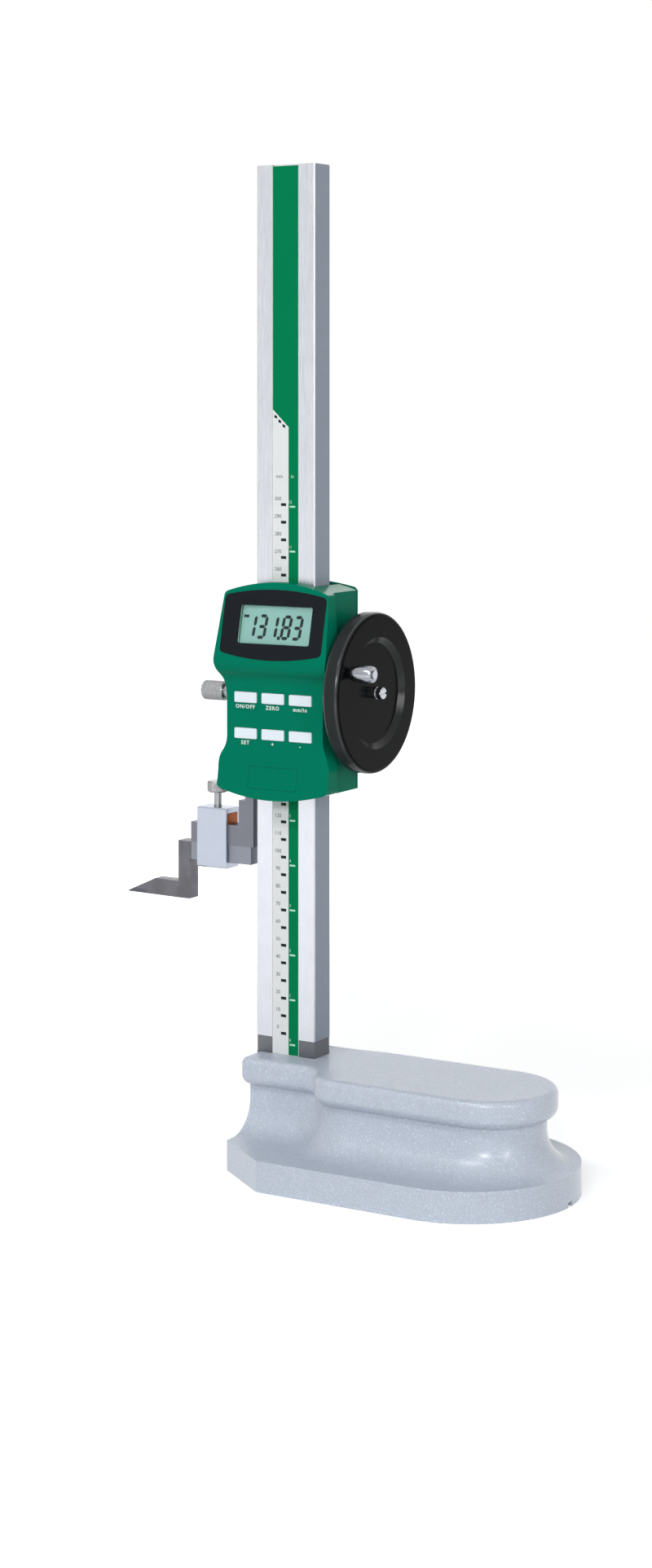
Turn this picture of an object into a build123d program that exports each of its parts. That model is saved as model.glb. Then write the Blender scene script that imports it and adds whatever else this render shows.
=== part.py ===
from build123d import *
import os
from math import acos, atan2, cos, pi, radians, sin, tan

# A digital height gauge, 300 mm range.  Millimetres, +Z up.  The origin is on the surface
# plate, below the middle of the column.  +X runs along the base, away from the scriber,
# and the display faces -Y.

# Column and scale
COLUMN_WIDTH = 38.5
COLUMN_DEPTH = 17.2
COLUMN_LENGTH = 505.0
COLUMN_SOCKET = 12.0
COLUMN_EDGE = 0.6
COLUMN_ROOT_HEIGHT = 9.5
COLUMN_ROOT_UNDERCUT = 0.4
STRIP_WIDTH = 17.4
CIRCUIT_THICKNESS = 1.0
STRIP_THICKNESS = 0.5
STRIP_SUNK = 0.15

# Base casting
BASE_HEIGHT = 59.0
BASE_AXIS_Y = -8.5
FOOT_THICKNESS = 17.0
FOOT_HALF_WIDTH = 63.5
FOOT_LEFT = -16.0
FOOT_RIGHT = 178.0
FOOT_CORNER_X = 36.0
FOOT_CORNER_Y = 27.0
FLANGE_THICKNESS = 15.5
FLANGE_HALF_WIDTH = 37.5
FLANGE_LEFT = -19.5
FLANGE_RIGHT = 167.0
FLANGE_CORNER = 4.0
FLANGE_EDGE = 3.5
FLANGE_LOWER_EDGE = 5.5
BLOCK_HALF_WIDTH = 26.5
SHOULDER_START = 22.0
SHOULDER_LENGTH = 28.0
WAIST_INSET = 6.0
COVE_RADIUS = 19.0
RIM_WIDTH = 14.0
LEFT_RIM_WIDTH = 18.0
RELIEF_DEPTH = 3.0
VENT_WIDTH = 5.0
VENT_HEIGHT = 2.7

# Rack and pinion drive
MODULE = 0.8
PRESSURE_ANGLE = radians(20)
PINION_TEETH = 18
PINION_WIDTH = 6.5
BACKLASH = 0.08
MESH_CLEARANCE = 0.10
DEDENDUM = 1.25
RACK_WIDTH = 8.0
RACK_THICKNESS = 4.0
RACK_GROOVE_DEPTH = 7.0
RACK_GROOVE_CLEARANCE = 0.5
DRIVE_HEIGHT = 265.0
SHAFT_RADIUS = 3.0
BUSH_WALL = 1.5
SHAFT_PASSAGE = 0.6

# Travel of the slider from the modelled position
TRAVEL_DOWN = 140.0
TRAVEL_UP = 160.0

# Clearances
SLIDE_CLEARANCE = 0.06
RUNNING_CLEARANCE = 0.05
FIT_CLEARANCE = 0.10

# Slider frame
FRAME_BOTTOM = 211.4
FRAME_TOP = 318.0
FRAME_FRONT = 3.2
GIB_THICKNESS = 2.4
GIB_END_MARGIN = 4.0
GIB_SCREW_RADIUS = 2.0
GIB_SCREW_SUNK = 2.1
GIB_SCREW_OFFSET = 36.0
GIB_SLOT_DEPTH = 1.0
JAW_THICKNESS = 10.0
JAW_PLATE_LEFT = -33.7
JAW_PLATE_RIGHT = -23.7
JAW_SHOULDER = 200.5
JAW_BAR_LEFT = -66.5
JAW_BAR_BOTTOM = 174.0
JAW_BAR_HEIGHT = 11.7

# Scriber and its clamp
SCRIBER_THICKNESS = 9.0
SHANK_RIGHT = -25.7
SHANK_HEIGHT = 10.2
LEG_LEFT = -75.6
LEG_RIGHT = -67.8
TIP_X = -112.5
TIP_HEIGHT = 140.5
BLADE_HEIGHT = 9.6
BLADE_FLAT_LEFT = -92.5
BLADE_TIP_WIDTH = 4.0
CARBIDE_LENGTH = 14.0
CARBIDE_HEIGHT = 2.2
CLAMP_LEFT = -61.1
CLAMP_WIDTH = 19.9
CLAMP_DEPTH = 13.5
CLAMP_TOP = 195.0
CLAMP_FLOOR = 3.3
CLAMP_ROOF = 3.0
CLAMP_EDGE = 0.8
CLAMP_STEM_RADIUS = 2.25
CLAMP_KNOB_RADIUS = 6.2
CLAMP_KNOB_HEIGHT = 6.4
CLAMP_KNOB_BOTTOM = 203.4

# Moulded covers
WALL = 2.2
COVER_WAIST = 31.7
COVER_TOP_HALF = 34.4
COVER_DISPLAY_HALF = 37.0
COVER_LOWER_HALF = 36.6
COVER_TOP = 327.2
COVER_TOP_CORNER = 321.2
COVER_DISPLAY_Z = 285.0
COVER_WAIST_TOP = 261.5
COVER_WAIST_BOTTOM = 240.0
COVER_LOWER_Z = 222.5
COVER_BOTTOM = 205.2
COVER_BOTTOM_CORNER = 210.6
COVER_CORNER_RADIUS = 3.0
DISPLAY_TOP_Y = -17.0
DISPLAY_BOTTOM_Y = -27.0
DISPLAY_BOTTOM_Z = 282.5
KEY_FACE_Y = -20.6
KEY_FACE_TOP = 268.5
KEY_FACE_BOTTOM = 236.0
LOWER_FACE_Y = -22.0
LOWER_FACE_TOP = 226.0
LOWER_EDGE_Y = -28.0
FLARE_FRONT_Y = -15.0
FLARE_BACK_Y = -8.0
COVER_SPLIT_Y = 17.0
PINION_COVER_GAP = 1.9
REAR_GAP = 0.3
REAR_BEVEL = 6.0
ARCH_OVERRUN = 0.5
COLUMN_GAP = 1.0

# Display, keys and electronics
BEZEL_HALF_WIDTH = 33.4
BEZEL_CORNER_V = 16.3
BEZEL_ARCH = 3.8
BEZEL_CENTRE_Z = 303.6
BEZEL_THICKNESS = 1.2
BEZEL_RECESS = 1.0
SCREEN_WIDTH = 47.0
SCREEN_HEIGHT = 21.8
SCREEN_OFFSET_X = 1.5
WINDOW_THICKNESS = 1.0
LCD_BORDER = 2.0
LCD_THICKNESS = 1.9
KEY_WIDTH = 14.8
KEY_HEIGHT = 6.1
KEY_PITCH = 18.1
KEY_ROW_PITCH = 20.4
KEY_CENTRE_X = -0.8
KEY_TOP_ROW_Z = 261.9
KEY_RISE = 0.9
KEY_CLEARANCE = 0.15
KEY_FLANGE = 0.8
KEY_FLANGE_REACH = 0.7
KEY_EDGE = 0.35
KEY_CORNER = 0.8
KEY_TRAVEL = 0.5
DOME_MARGIN = 1.5
BOARD_THICKNESS = 1.6
BOARD_EDGE_GAP = 0.4
MAIN_BOARD_Y = -15.4
SENSOR_GAP = 0.4
SENSOR_THICKNESS = 1.6
SENSOR_HALF_WIDTH = 25.0
SENSOR_MARGIN = 3.0
SENSOR_LEDGE = 3.0
POST_RADIUS = 2.0
CELL_RADIUS = 5.8
CELL_THICKNESS = 5.4
HOLDER_WALL = 1.2
HOLDER_FLOOR = 0.8
HOLDER_FLANGE = 1.7
LID_HALF_WIDTH = 16.0
LID_BOTTOM = 211.0
LID_TOP = 223.4
LID_GAP = 0.15

# Hand wheel and spinner
WHEEL_RADIUS = 45.6
WHEEL_FRONT_X = 48.5
RIM_THICKNESS = 10.2
RIM_INNER_RADIUS = 30.0
RIM_ROUNDING = 2.6
DISH_SLOPE = 1.5
WEB_THICKNESS = 4.0
WEB_SUNK = 3.0
HUB_RADIUS = 9.0
HUB_EDGE = 1.0
HUB_BACK_X = 33.2
HUB_SCREW_RADIUS = 3.4
HUB_SCREW_HEIGHT = 7.0
HUB_SCREW_NECK = 2.6
HUB_SCREW_NECK_SPAN = (2.4, 3.4)
HUB_SCREW_SLOT = 1.2
SPINNER_REACH = 35.8
SPINNER_ANGLE = radians(157)
SPINNER_LENGTH = 15.6
SPINNER_GAP = 0.4
SPINNER_NECK_RADIUS = 3.0
SPINNER_BELLY_RADIUS = 5.0
SPINNER_BELLY = 9.5
SPINNER_END_RADIUS = 4.3
SPINNER_PIN_RADIUS = 1.6

# Lock screw
LOCK_HEIGHT = 262.1
LOCK_KNOB_LEFT = -59.7
LOCK_KNOB_LENGTH = 14.5
LOCK_KNOB_RADIUS = 5.7
LOCK_STEM_RADIUS = 3.0

# Fasteners
COLUMN_SCREW_RADIUS = 4.0
COLUMN_SCREW_HEAD = 6.5
COLUMN_SCREW_HEAD_HEIGHT = 8.0
COLUMN_SCREW_SPACING = 22.0
COLUMN_SCREW_THREAD = 16.0
RACK_SCREW_RADIUS = 1.25
RACK_SCREW_HEAD = 2.2
RACK_SCREW_COUNT = 3
COVER_SCREW_RADIUS = 1.25
COVER_SCREW_HEAD = 2.3
COVER_SCREW_LENGTH = 8.0

# Derived places
COLUMN_TOP = BASE_HEIGHT + COLUMN_LENGTH
COLUMN_HALF = COLUMN_WIDTH / 2
COLUMN_FRONT_Y = -COLUMN_DEPTH / 2
COLUMN_BACK_Y = COLUMN_DEPTH / 2
STRIP_GROOVE_DEPTH = CIRCUIT_THICKNESS + STRIP_THICKNESS + STRIP_SUNK
STRIP_FLOOR_Y = COLUMN_FRONT_Y + STRIP_GROOVE_DEPTH
RACK_FLOOR_Y = COLUMN_BACK_Y - RACK_GROOVE_DEPTH
RACK_PITCH_Y = RACK_FLOOR_Y + RACK_THICKNESS - MODULE
PINION_PITCH_RADIUS = MODULE * PINION_TEETH / 2
PINION_TIP_RADIUS = PINION_PITCH_RADIUS + MODULE
SHAFT_Y = RACK_PITCH_Y + PINION_PITCH_RADIUS + MESH_CLEARANCE
FRAME_HALF = COVER_WAIST - WALL - FIT_CLEARANCE
FRAME_FRONT_Y = COLUMN_FRONT_Y - FRAME_FRONT
FRAME_BACK_Y = SHAFT_Y + PINION_TIP_RADIUS + PINION_COVER_GAP
COVER_BACK_Y = FRAME_BACK_Y + REAR_GAP + WALL
GIB_LEFT = -COLUMN_HALF - SLIDE_CLEARANCE - GIB_THICKNESS
JAW_BAR_TOP = JAW_BAR_BOTTOM + JAW_BAR_HEIGHT
SHANK_TOP = JAW_BAR_BOTTOM - FIT_CLEARANCE
SHANK_BOTTOM = SHANK_TOP - SHANK_HEIGHT
CLAMP_RIGHT = CLAMP_LEFT + CLAMP_WIDTH
CLAMP_X = (CLAMP_LEFT + CLAMP_RIGHT) / 2
CLAMP_BOTTOM = SHANK_BOTTOM - FIT_CLEARANCE - CLAMP_FLOOR
PAD_TOP = CLAMP_TOP - CLAMP_ROOF
SENSOR_BACK_Y = COLUMN_FRONT_Y - SENSOR_GAP
CELL_Z = (LID_TOP + LID_BOTTOM) / 2
CELL_BACK_Y = MAIN_BOARD_Y + BOARD_THICKNESS
DISPLAY_TILT = atan2(DISPLAY_TOP_Y - DISPLAY_BOTTOM_Y, COVER_TOP - DISPLAY_BOTTOM_Z)
BEZEL_CENTRE_Y = DISPLAY_BOTTOM_Y + (BEZEL_CENTRE_Z - DISPLAY_BOTTOM_Z) * tan(DISPLAY_TILT)
DISPLAY_PLANE = Plane(
    origin=(0, BEZEL_CENTRE_Y, BEZEL_CENTRE_Z),
    x_dir=(1, 0, 0),
    z_dir=(0, -cos(DISPLAY_TILT), sin(DISPLAY_TILT)),
)
FAR = 300.0


# Plain shapes

def block(x, y, z):
    """A box between the two values of each pair."""
    middle = [(a + b) / 2 for a, b in (x, y, z)]
    size = [b - a for a, b in (x, y, z)]
    return Pos(*middle) * Box(*size)


def rod_x(x, y, z, radius):
    """A cylinder along X, between the two values of x."""
    return Pos((x[0] + x[1]) / 2, y, z) * Rot(0, 90, 0) * Cylinder(radius, x[1] - x[0])


def rod_y(x, y, z, radius):
    """A cylinder along Y, between the two values of y."""
    return Pos(x, (y[0] + y[1]) / 2, z) * Rot(90, 0, 0) * Cylinder(radius, y[1] - y[0])


def rod_z(x, y, z, radius):
    """A cylinder along Z, between the two values of z."""
    return Pos(x, y, (z[0] + z[1]) / 2) * Cylinder(radius, z[1] - z[0])


def s_bend(start, end, heading):
    """Two equal arcs from start to end that leave and arrive along heading."""
    middle = (Vector(*start) + Vector(*end)) / 2
    first = TangentArc(Vector(*start), middle, tangent=heading)
    second = TangentArc(middle, Vector(*end), tangent=first % 1)
    return first + second


def edges_at_height(shape, height):
    """The edges that lie in the level plane at this height."""
    return shape.edges().filter_by_position(Axis.Z, height - 0.01, height + 0.01)


def group(pieces):
    """Separate solids that share one node."""
    return Compound(children=list(pieces))


# Base casting

def base_plan(left, block_half, wide_half, right, bend_start, bend_length):
    """A narrow block at the left that widens by two bends into a round-ended plate."""
    front = BASE_AXIS_Y - wide_half
    back = BASE_AXIS_Y + wide_half
    bend_end = bend_start + bend_length
    round_x = right - wide_half
    outline = Line((left, block_half), (left, -block_half))
    outline += Line((left, -block_half), (bend_start, -block_half))
    outline += s_bend((bend_start, -block_half), (bend_end, front), (1, 0))
    outline += Line((bend_end, front), (round_x, front))
    outline += ThreePointArc((round_x, front), (right, BASE_AXIS_Y), (round_x, back))
    outline += Line((round_x, back), (bend_end, back))
    outline += s_bend((bend_end, back), (bend_start, block_half), (-1, 0))
    outline += Line((bend_start, block_half), (left, block_half))
    return make_face(outline)


def foot_plan(left, inset=0.0):
    """The bottom plate: square at the left, a half round at the right."""
    half = FOOT_HALF_WIDTH - inset
    right = FOOT_RIGHT - inset
    round_x = right - half
    front = BASE_AXIS_Y - half
    back = BASE_AXIS_Y + half
    outline = Line((left, back), (left, front))
    outline += Line((left, front), (round_x, front))
    outline += ThreePointArc((round_x, front), (right, BASE_AXIS_Y), (round_x, back))
    outline += Line((round_x, back), (left, back))
    return make_face(outline)


def foot_corner(side):
    """The wedge that bevels one left corner of the foot; side is -1 at the front."""
    edge = BASE_AXIS_Y + side * FOOT_HALF_WIDTH
    wedge = Polyline(
        (FOOT_LEFT - 1, edge - side * FOOT_CORNER_Y),
        (FOOT_LEFT, edge - side * FOOT_CORNER_Y),
        (FOOT_LEFT + FOOT_CORNER_X, edge),
        (FOOT_LEFT + FOOT_CORNER_X, edge + side),
        (FOOT_LEFT - 1, edge + side),
        close=True,
    )
    return extrude(make_face(wedge), FOOT_THICKNESS)


def flange():
    """The top plate, with rounded corners and edges."""
    plan = base_plan(
        FLANGE_LEFT,
        BLOCK_HALF_WIDTH,
        FLANGE_HALF_WIDTH,
        FLANGE_RIGHT,
        SHOULDER_START,
        SHOULDER_LENGTH,
    )
    left_corners = plan.vertices().sort_by(Axis.X)[:2]
    plan = fillet(left_corners, FLANGE_CORNER)
    bottom = BASE_HEIGHT - FLANGE_THICKNESS
    plate = Pos(0, 0, bottom) * extrude(plan, FLANGE_THICKNESS)
    plate = fillet(edges_at_height(plate, BASE_HEIGHT), FLANGE_EDGE)
    return fillet(edges_at_height(plate, bottom), FLANGE_LOWER_EDGE)


def foot_and_waist():
    """The foot with the waist that sweeps up from it in a hollow cove."""
    run_out = 2 * COVE_RADIUS
    foot = extrude(foot_plan(FOOT_LEFT - 2 * run_out), FOOT_THICKNESS)
    waist_plan = base_plan(
        FOOT_LEFT - run_out,
        BLOCK_HALF_WIDTH - WAIST_INSET,
        FLANGE_HALF_WIDTH - WAIST_INSET,
        FLANGE_RIGHT - WAIST_INSET,
        SHOULDER_START - WAIST_INSET,
        SHOULDER_LENGTH + 2 * WAIST_INSET,
    )
    waist_height = BASE_HEIGHT - FLANGE_THICKNESS / 2 - FOOT_THICKNESS
    waist = Pos(0, 0, FOOT_THICKNESS) * extrude(waist_plan, waist_height)
    body = foot + waist
    reach = BASE_AXIS_Y - FLANGE_HALF_WIDTH
    root = [e for e in edges_at_height(body, FOOT_THICKNESS) if e.bounding_box().min.Y > reach]
    root = [e for e in root if e.bounding_box().max.X < FLANGE_RIGHT]
    root = [e for e in root if e.bounding_box().min.X > FOOT_LEFT - run_out - 1]
    body = fillet(root, COVE_RADIUS)
    left_waste = block((-FAR, FOOT_LEFT), (-FAR, FAR), (-1, BASE_HEIGHT))
    return body - left_waste


def base_casting():
    """Cast iron base: foot, waist, top flange, column socket and relieved underside."""
    body = foot_and_waist()
    for side in (-1, 1):
        body -= foot_corner(side)
    body += flange()
    relief = extrude(foot_plan(FOOT_LEFT + LEFT_RIM_WIDTH, RIM_WIDTH), RELIEF_DEPTH)
    for side in (-1, 1):
        relief -= Pos(LEFT_RIM_WIDTH, -side * RIM_WIDTH, 0) * foot_corner(side)
    body -= relief
    body -= block(
        (FOOT_RIGHT - 2 * RIM_WIDTH, FAR),
        (BASE_AXIS_Y - VENT_WIDTH / 2, BASE_AXIS_Y + VENT_WIDTH / 2),
        (-1, VENT_HEIGHT),
    )
    body -= block(
        (-COLUMN_HALF, COLUMN_HALF),
        (COLUMN_FRONT_Y, COLUMN_BACK_Y),
        (BASE_HEIGHT - COLUMN_SOCKET, BASE_HEIGHT + 1),
    )
    for x in column_screw_places():
        head_top = RELIEF_DEPTH + COLUMN_SCREW_HEAD_HEIGHT + 1
        body -= rod_z(x, 0, (0, head_top), COLUMN_SCREW_HEAD + FIT_CLEARANCE)
        hole_top = BASE_HEIGHT - COLUMN_SOCKET + 1
        body -= rod_z(x, 0, (0, hole_top), COLUMN_SCREW_RADIUS + FIT_CLEARANCE)
    return body


# Column

def column_screw_places():
    return (-COLUMN_SCREW_SPACING / 2, COLUMN_SCREW_SPACING / 2)


def column_screws():
    """Socket head screws that pull the column down into its socket."""
    head_bottom = RELIEF_DEPTH + 1
    head_top = head_bottom + COLUMN_SCREW_HEAD_HEIGHT
    tip = BASE_HEIGHT - COLUMN_SOCKET + COLUMN_SCREW_THREAD
    screws = []
    for x in column_screw_places():
        screw = rod_z(x, 0, (head_bottom, head_top), COLUMN_SCREW_HEAD)
        screw += rod_z(x, 0, (head_top, tip), COLUMN_SCREW_RADIUS)
        socket = RegularPolygon(COLUMN_SCREW_RADIUS, 6, major_radius=False)
        screw -= Pos(x, 0, head_bottom) * extrude(socket, COLUMN_SCREW_HEAD_HEIGHT / 2)
        screws.append(screw)
    return group(screws)


def column_profile():
    """A flat bar with the scale groove at the front and the rack groove at the back."""
    bar = Rectangle(COLUMN_WIDTH, COLUMN_DEPTH)
    bar = chamfer(bar.vertices(), COLUMN_EDGE)
    scale_groove = Rectangle(STRIP_WIDTH, 2 * STRIP_GROOVE_DEPTH)
    rack_groove = Rectangle(RACK_WIDTH + 2 * RACK_GROOVE_CLEARANCE, 2 * RACK_GROOVE_DEPTH)
    bar -= Pos(0, COLUMN_FRONT_Y) * scale_groove
    bar -= Pos(0, COLUMN_BACK_Y) * rack_groove
    return bar


def column():
    """Ground column, with an unground root just above the base."""
    bottom = BASE_HEIGHT - COLUMN_SOCKET
    bar = Pos(0, 0, bottom) * extrude(column_profile(), COLUMN_TOP - bottom)
    root = Rectangle(COLUMN_WIDTH + 2, COLUMN_DEPTH + 2)
    root -= Rectangle(
        COLUMN_WIDTH - 2 * COLUMN_ROOT_UNDERCUT,
        COLUMN_DEPTH - 2 * COLUMN_ROOT_UNDERCUT,
    )
    bar -= Pos(0, 0, BASE_HEIGHT) * extrude(root, COLUMN_ROOT_HEIGHT)
    for x in column_screw_places():
        hole = (bottom - 1, bottom + COLUMN_SCREW_THREAD + 1)
        bar -= rod_z(x, 0, hole, COLUMN_SCREW_RADIUS + RUNNING_CLEARANCE)
    for z in rack_screw_heights():
        hole = (RACK_FLOOR_Y - rack_screw_depth() - 0.5, RACK_FLOOR_Y + 1)
        bar -= rod_y(0, hole, z, RACK_SCREW_RADIUS + RUNNING_CLEARANCE)
    return bar


def scale_circuit():
    """Etched capacitive scale, bonded to the groove floor."""
    half = STRIP_WIDTH / 2 - RUNNING_CLEARANCE
    front = STRIP_FLOOR_Y - CIRCUIT_THICKNESS
    return block((-half, half), (front, STRIP_FLOOR_Y), (BASE_HEIGHT, COLUMN_TOP - COLUMN_EDGE))


def scale_strip():
    """Printed cover strip over the capacitive scale."""
    half = STRIP_WIDTH / 2 - RUNNING_CLEARANCE
    back = STRIP_FLOOR_Y - CIRCUIT_THICKNESS
    front = back - STRIP_THICKNESS
    return block((-half, half), (front, back), (BASE_HEIGHT, COLUMN_TOP - COLUMN_EDGE))


# Rack and pinion

def rack_tooth_heights():
    """Tooth centres, in step with the pinion, over the whole travel."""
    pitch = pi * MODULE
    below = int((TRAVEL_DOWN + 2 * PINION_TIP_RADIUS) / pitch)
    above = int((TRAVEL_UP + 2 * PINION_TIP_RADIUS) / pitch)
    return [DRIVE_HEIGHT + pitch * step for step in range(-below, above + 1)]


def rack():
    """Straight rack with 20 degree flanks."""
    tip = RACK_PITCH_Y + MODULE
    root = RACK_PITCH_Y - DEDENDUM * MODULE
    half_pitch_line = pi * MODULE / 4 - BACKLASH / 2
    half_tip = half_pitch_line - MODULE * tan(PRESSURE_ANGLE)
    half_root = half_pitch_line + DEDENDUM * MODULE * tan(PRESSURE_ANGLE)
    heights = rack_tooth_heights()
    points = [(RACK_FLOOR_Y, heights[0] - pi * MODULE / 2)]
    points.append((root, heights[0] - pi * MODULE / 2))
    for z in heights:
        points.append((root, z - half_root))
        points.append((tip, z - half_tip))
        points.append((tip, z + half_tip))
        points.append((root, z + half_root))
    points.append((root, heights[-1] + pi * MODULE / 2))
    points.append((RACK_FLOOR_Y, heights[-1] + pi * MODULE / 2))
    side = Plane.YZ.offset(-RACK_WIDTH / 2) * make_face(Polyline(*points, close=True))
    bar = extrude(side, RACK_WIDTH, dir=(1, 0, 0))
    for z in rack_screw_heights():
        span = (RACK_FLOOR_Y - 1, tip + 1)
        bar -= rod_y(0, span, z, RACK_SCREW_RADIUS + RUNNING_CLEARANCE)
        seat = (rack_screw_seat(), tip + 1)
        bar -= rod_y(0, seat, z, RACK_SCREW_HEAD + RUNNING_CLEARANCE)
    return bar


def rack_screw_heights():
    """The screws sit in tooth gaps, spread along the rack."""
    heights = rack_tooth_heights()
    last = len(heights) - 1
    steps = [round(last * (2 * i + 1) / (2 * RACK_SCREW_COUNT)) for i in range(RACK_SCREW_COUNT)]
    return [heights[step] + pi * MODULE / 2 for step in steps]


def rack_screw_seat():
    return RACK_FLOOR_Y + RACK_THICKNESS / 3


def rack_screw_depth():
    return RACK_THICKNESS


def rack_screws():
    """Small countersunk fixings, below the tooth roots."""
    head_top = RACK_PITCH_Y - DEDENDUM * MODULE - FIT_CLEARANCE
    screws = []
    for z in rack_screw_heights():
        screw = rod_y(0, (rack_screw_seat(), head_top), z, RACK_SCREW_HEAD)
        shank = (RACK_FLOOR_Y - rack_screw_depth(), rack_screw_seat())
        screw += rod_y(0, shank, z, RACK_SCREW_RADIUS)
        screws.append(screw)
    return group(screws)


def involute_half_angle(radius):
    """Half the angle that one pinion tooth covers at this radius."""
    base = PINION_PITCH_RADIUS * cos(PRESSURE_ANGLE)
    here = acos(min(1.0, base / radius))
    middle = pi / (2 * PINION_TEETH) - BACKLASH / (2 * PINION_PITCH_RADIUS)
    return middle + (tan(PRESSURE_ANGLE) - PRESSURE_ANGLE) - (tan(here) - here)


def pinion_face():
    """Involute tooth ring about the shaft, with a gap facing the rack."""
    base = PINION_PITCH_RADIUS * cos(PRESSURE_ANGLE)
    root = PINION_PITCH_RADIUS - DEDENDUM * MODULE
    radii = [base + (PINION_TIP_RADIUS - base) * step / 3 for step in range(4)]
    flank = [(root, involute_half_angle(base))]
    flank += [(radius, involute_half_angle(radius)) for radius in radii]
    points = []
    for tooth in range(PINION_TEETH):
        centre = pi + 2 * pi * (tooth + 0.5) / PINION_TEETH
        rising = [(r, centre - a) for r, a in flank]
        falling = [(r, centre + a) for r, a in reversed(flank)]
        points += [(r * cos(a), r * sin(a)) for r, a in rising + falling]
    return make_face(Polyline(*points, close=True))


def pinion():
    """Steel pinion, pressed on the shaft."""
    place = Plane(origin=(-PINION_WIDTH / 2, SHAFT_Y, DRIVE_HEIGHT), x_dir=(0, 1, 0), z_dir=(1, 0, 0))
    gear = extrude(place * pinion_face(), PINION_WIDTH, dir=(1, 0, 0))
    return gear - rod_x((-PINION_WIDTH, PINION_WIDTH), SHAFT_Y, DRIVE_HEIGHT, SHAFT_RADIUS)


def wheel_shaft():
    """Cross shaft behind the column, from the left bush to the wheel."""
    left = -FRAME_HALF + FIT_CLEARANCE
    right = WHEEL_FRONT_X - WEB_SUNK - WEB_THICKNESS / 2
    return rod_x((left, right), SHAFT_Y, DRIVE_HEIGHT, SHAFT_RADIUS)


def bush_spans():
    """The two plain bushes, one in each side of the frame."""
    left = (-FRAME_HALF, GIB_LEFT - RUNNING_CLEARANCE)
    return left, (COLUMN_HALF + SLIDE_CLEARANCE, FRAME_HALF)


def shaft_bushes():
    bushes = []
    for span in bush_spans():
        bush = rod_x(span, SHAFT_Y, DRIVE_HEIGHT, SHAFT_RADIUS + RUNNING_CLEARANCE + BUSH_WALL)
        bush -= rod_x((-FAR, FAR), SHAFT_Y, DRIVE_HEIGHT, SHAFT_RADIUS + RUNNING_CLEARANCE)
        bushes.append(bush)
    return group(bushes)


# Slider frame, gib and jaw

def frame_column_window():
    """The space inside the frame for the column and the gib."""
    return block(
        (GIB_LEFT - RUNNING_CLEARANCE, COLUMN_HALF + SLIDE_CLEARANCE),
        (COLUMN_FRONT_Y - SLIDE_CLEARANCE, COLUMN_BACK_Y + SLIDE_CLEARANCE),
        (FRAME_BOTTOM - 1, FRAME_TOP + 1),
    )


def sensor_recess(margin, y):
    """The outline of the sensor board, shrunk by a margin, between two values of y."""
    half = SENSOR_HALF_WIDTH - margin
    low = FRAME_BOTTOM + SENSOR_MARGIN + margin
    high = FRAME_TOP - SENSOR_MARGIN - margin
    return block((-half, half), y, (low, high))


def sensor_board():
    """Circuit board that reads the scale, in a rabbet at the front of the frame."""
    return sensor_recess(0.0, (SENSOR_BACK_Y - SENSOR_THICKNESS, SENSOR_BACK_Y))


def jaw():
    """The neck, shoulder plate and bar that carry the scriber."""
    y = (-JAW_THICKNESS / 2, JAW_THICKNESS / 2)
    neck = block((-FRAME_HALF, JAW_PLATE_RIGHT), y, (JAW_SHOULDER - 1, FRAME_BOTTOM + 1))
    plate = block((JAW_PLATE_LEFT, JAW_PLATE_RIGHT), y, (JAW_BAR_BOTTOM, JAW_SHOULDER))
    bar = block((JAW_BAR_LEFT, JAW_PLATE_RIGHT), y, (JAW_BAR_BOTTOM, JAW_BAR_TOP))
    return neck + plate + bar


def slider_frame():
    """Steel frame round the column, with the pinion housing behind and the jaw below."""
    body = block(
        (-FRAME_HALF, FRAME_HALF),
        (FRAME_FRONT_Y, FRAME_BACK_Y),
        (FRAME_BOTTOM, FRAME_TOP),
    )
    body = chamfer(body.faces().sort_by(Axis.Y)[-1].edges(), REAR_BEVEL)
    body -= frame_column_window()
    body -= sensor_recess(SENSOR_LEDGE, (FRAME_FRONT_Y - 1, COLUMN_FRONT_Y))
    body -= sensor_recess(-RUNNING_CLEARANCE, (FRAME_FRONT_Y - 1, SENSOR_BACK_Y))
    housing = PINION_TIP_RADIUS + 2
    lightening = COLUMN_HALF - 2
    back = (COLUMN_BACK_Y, FRAME_BACK_Y + 1)
    body -= block(
        (-PINION_WIDTH / 2 - 1, PINION_WIDTH / 2 + 1),
        back,
        (DRIVE_HEIGHT - housing, DRIVE_HEIGHT + housing),
    )
    for low, high in (
        (FRAME_BOTTOM + 8, DRIVE_HEIGHT - housing - 5),
        (DRIVE_HEIGHT + housing + 5, FRAME_TOP - 8),
    ):
        body -= block((-lightening, lightening), back, (low, high))
    bore = SHAFT_RADIUS + RUNNING_CLEARANCE + BUSH_WALL
    for span in bush_spans():
        body -= rod_x(span, SHAFT_Y, DRIVE_HEIGHT, bore)
    passage = SHAFT_RADIUS + SHAFT_PASSAGE
    body -= block(
        (bush_spans()[0][1], bush_spans()[1][0]),
        (COLUMN_BACK_Y, SHAFT_Y + passage),
        (DRIVE_HEIGHT - passage, DRIVE_HEIGHT + passage),
    )
    body += jaw()
    for x, z in post_places():
        body += rod_y(x, (CELL_BACK_Y, FRAME_FRONT_Y + 1), z, POST_RADIUS)
    for x, z in cover_screw_places():
        hole = (FRAME_BACK_Y - COVER_SCREW_LENGTH - 1, FRAME_BACK_Y + 1)
        body -= rod_y(x, hole, z, COVER_SCREW_RADIUS + RUNNING_CLEARANCE)
    left = (-FRAME_HALF - 1, -COLUMN_HALF)
    body -= rod_x(left, 0, LOCK_HEIGHT, LOCK_STEM_RADIUS + RUNNING_CLEARANCE)
    for z in gib_screw_heights():
        body -= rod_x(left, 0, z, GIB_SCREW_RADIUS + RUNNING_CLEARANCE)
    return body


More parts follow.
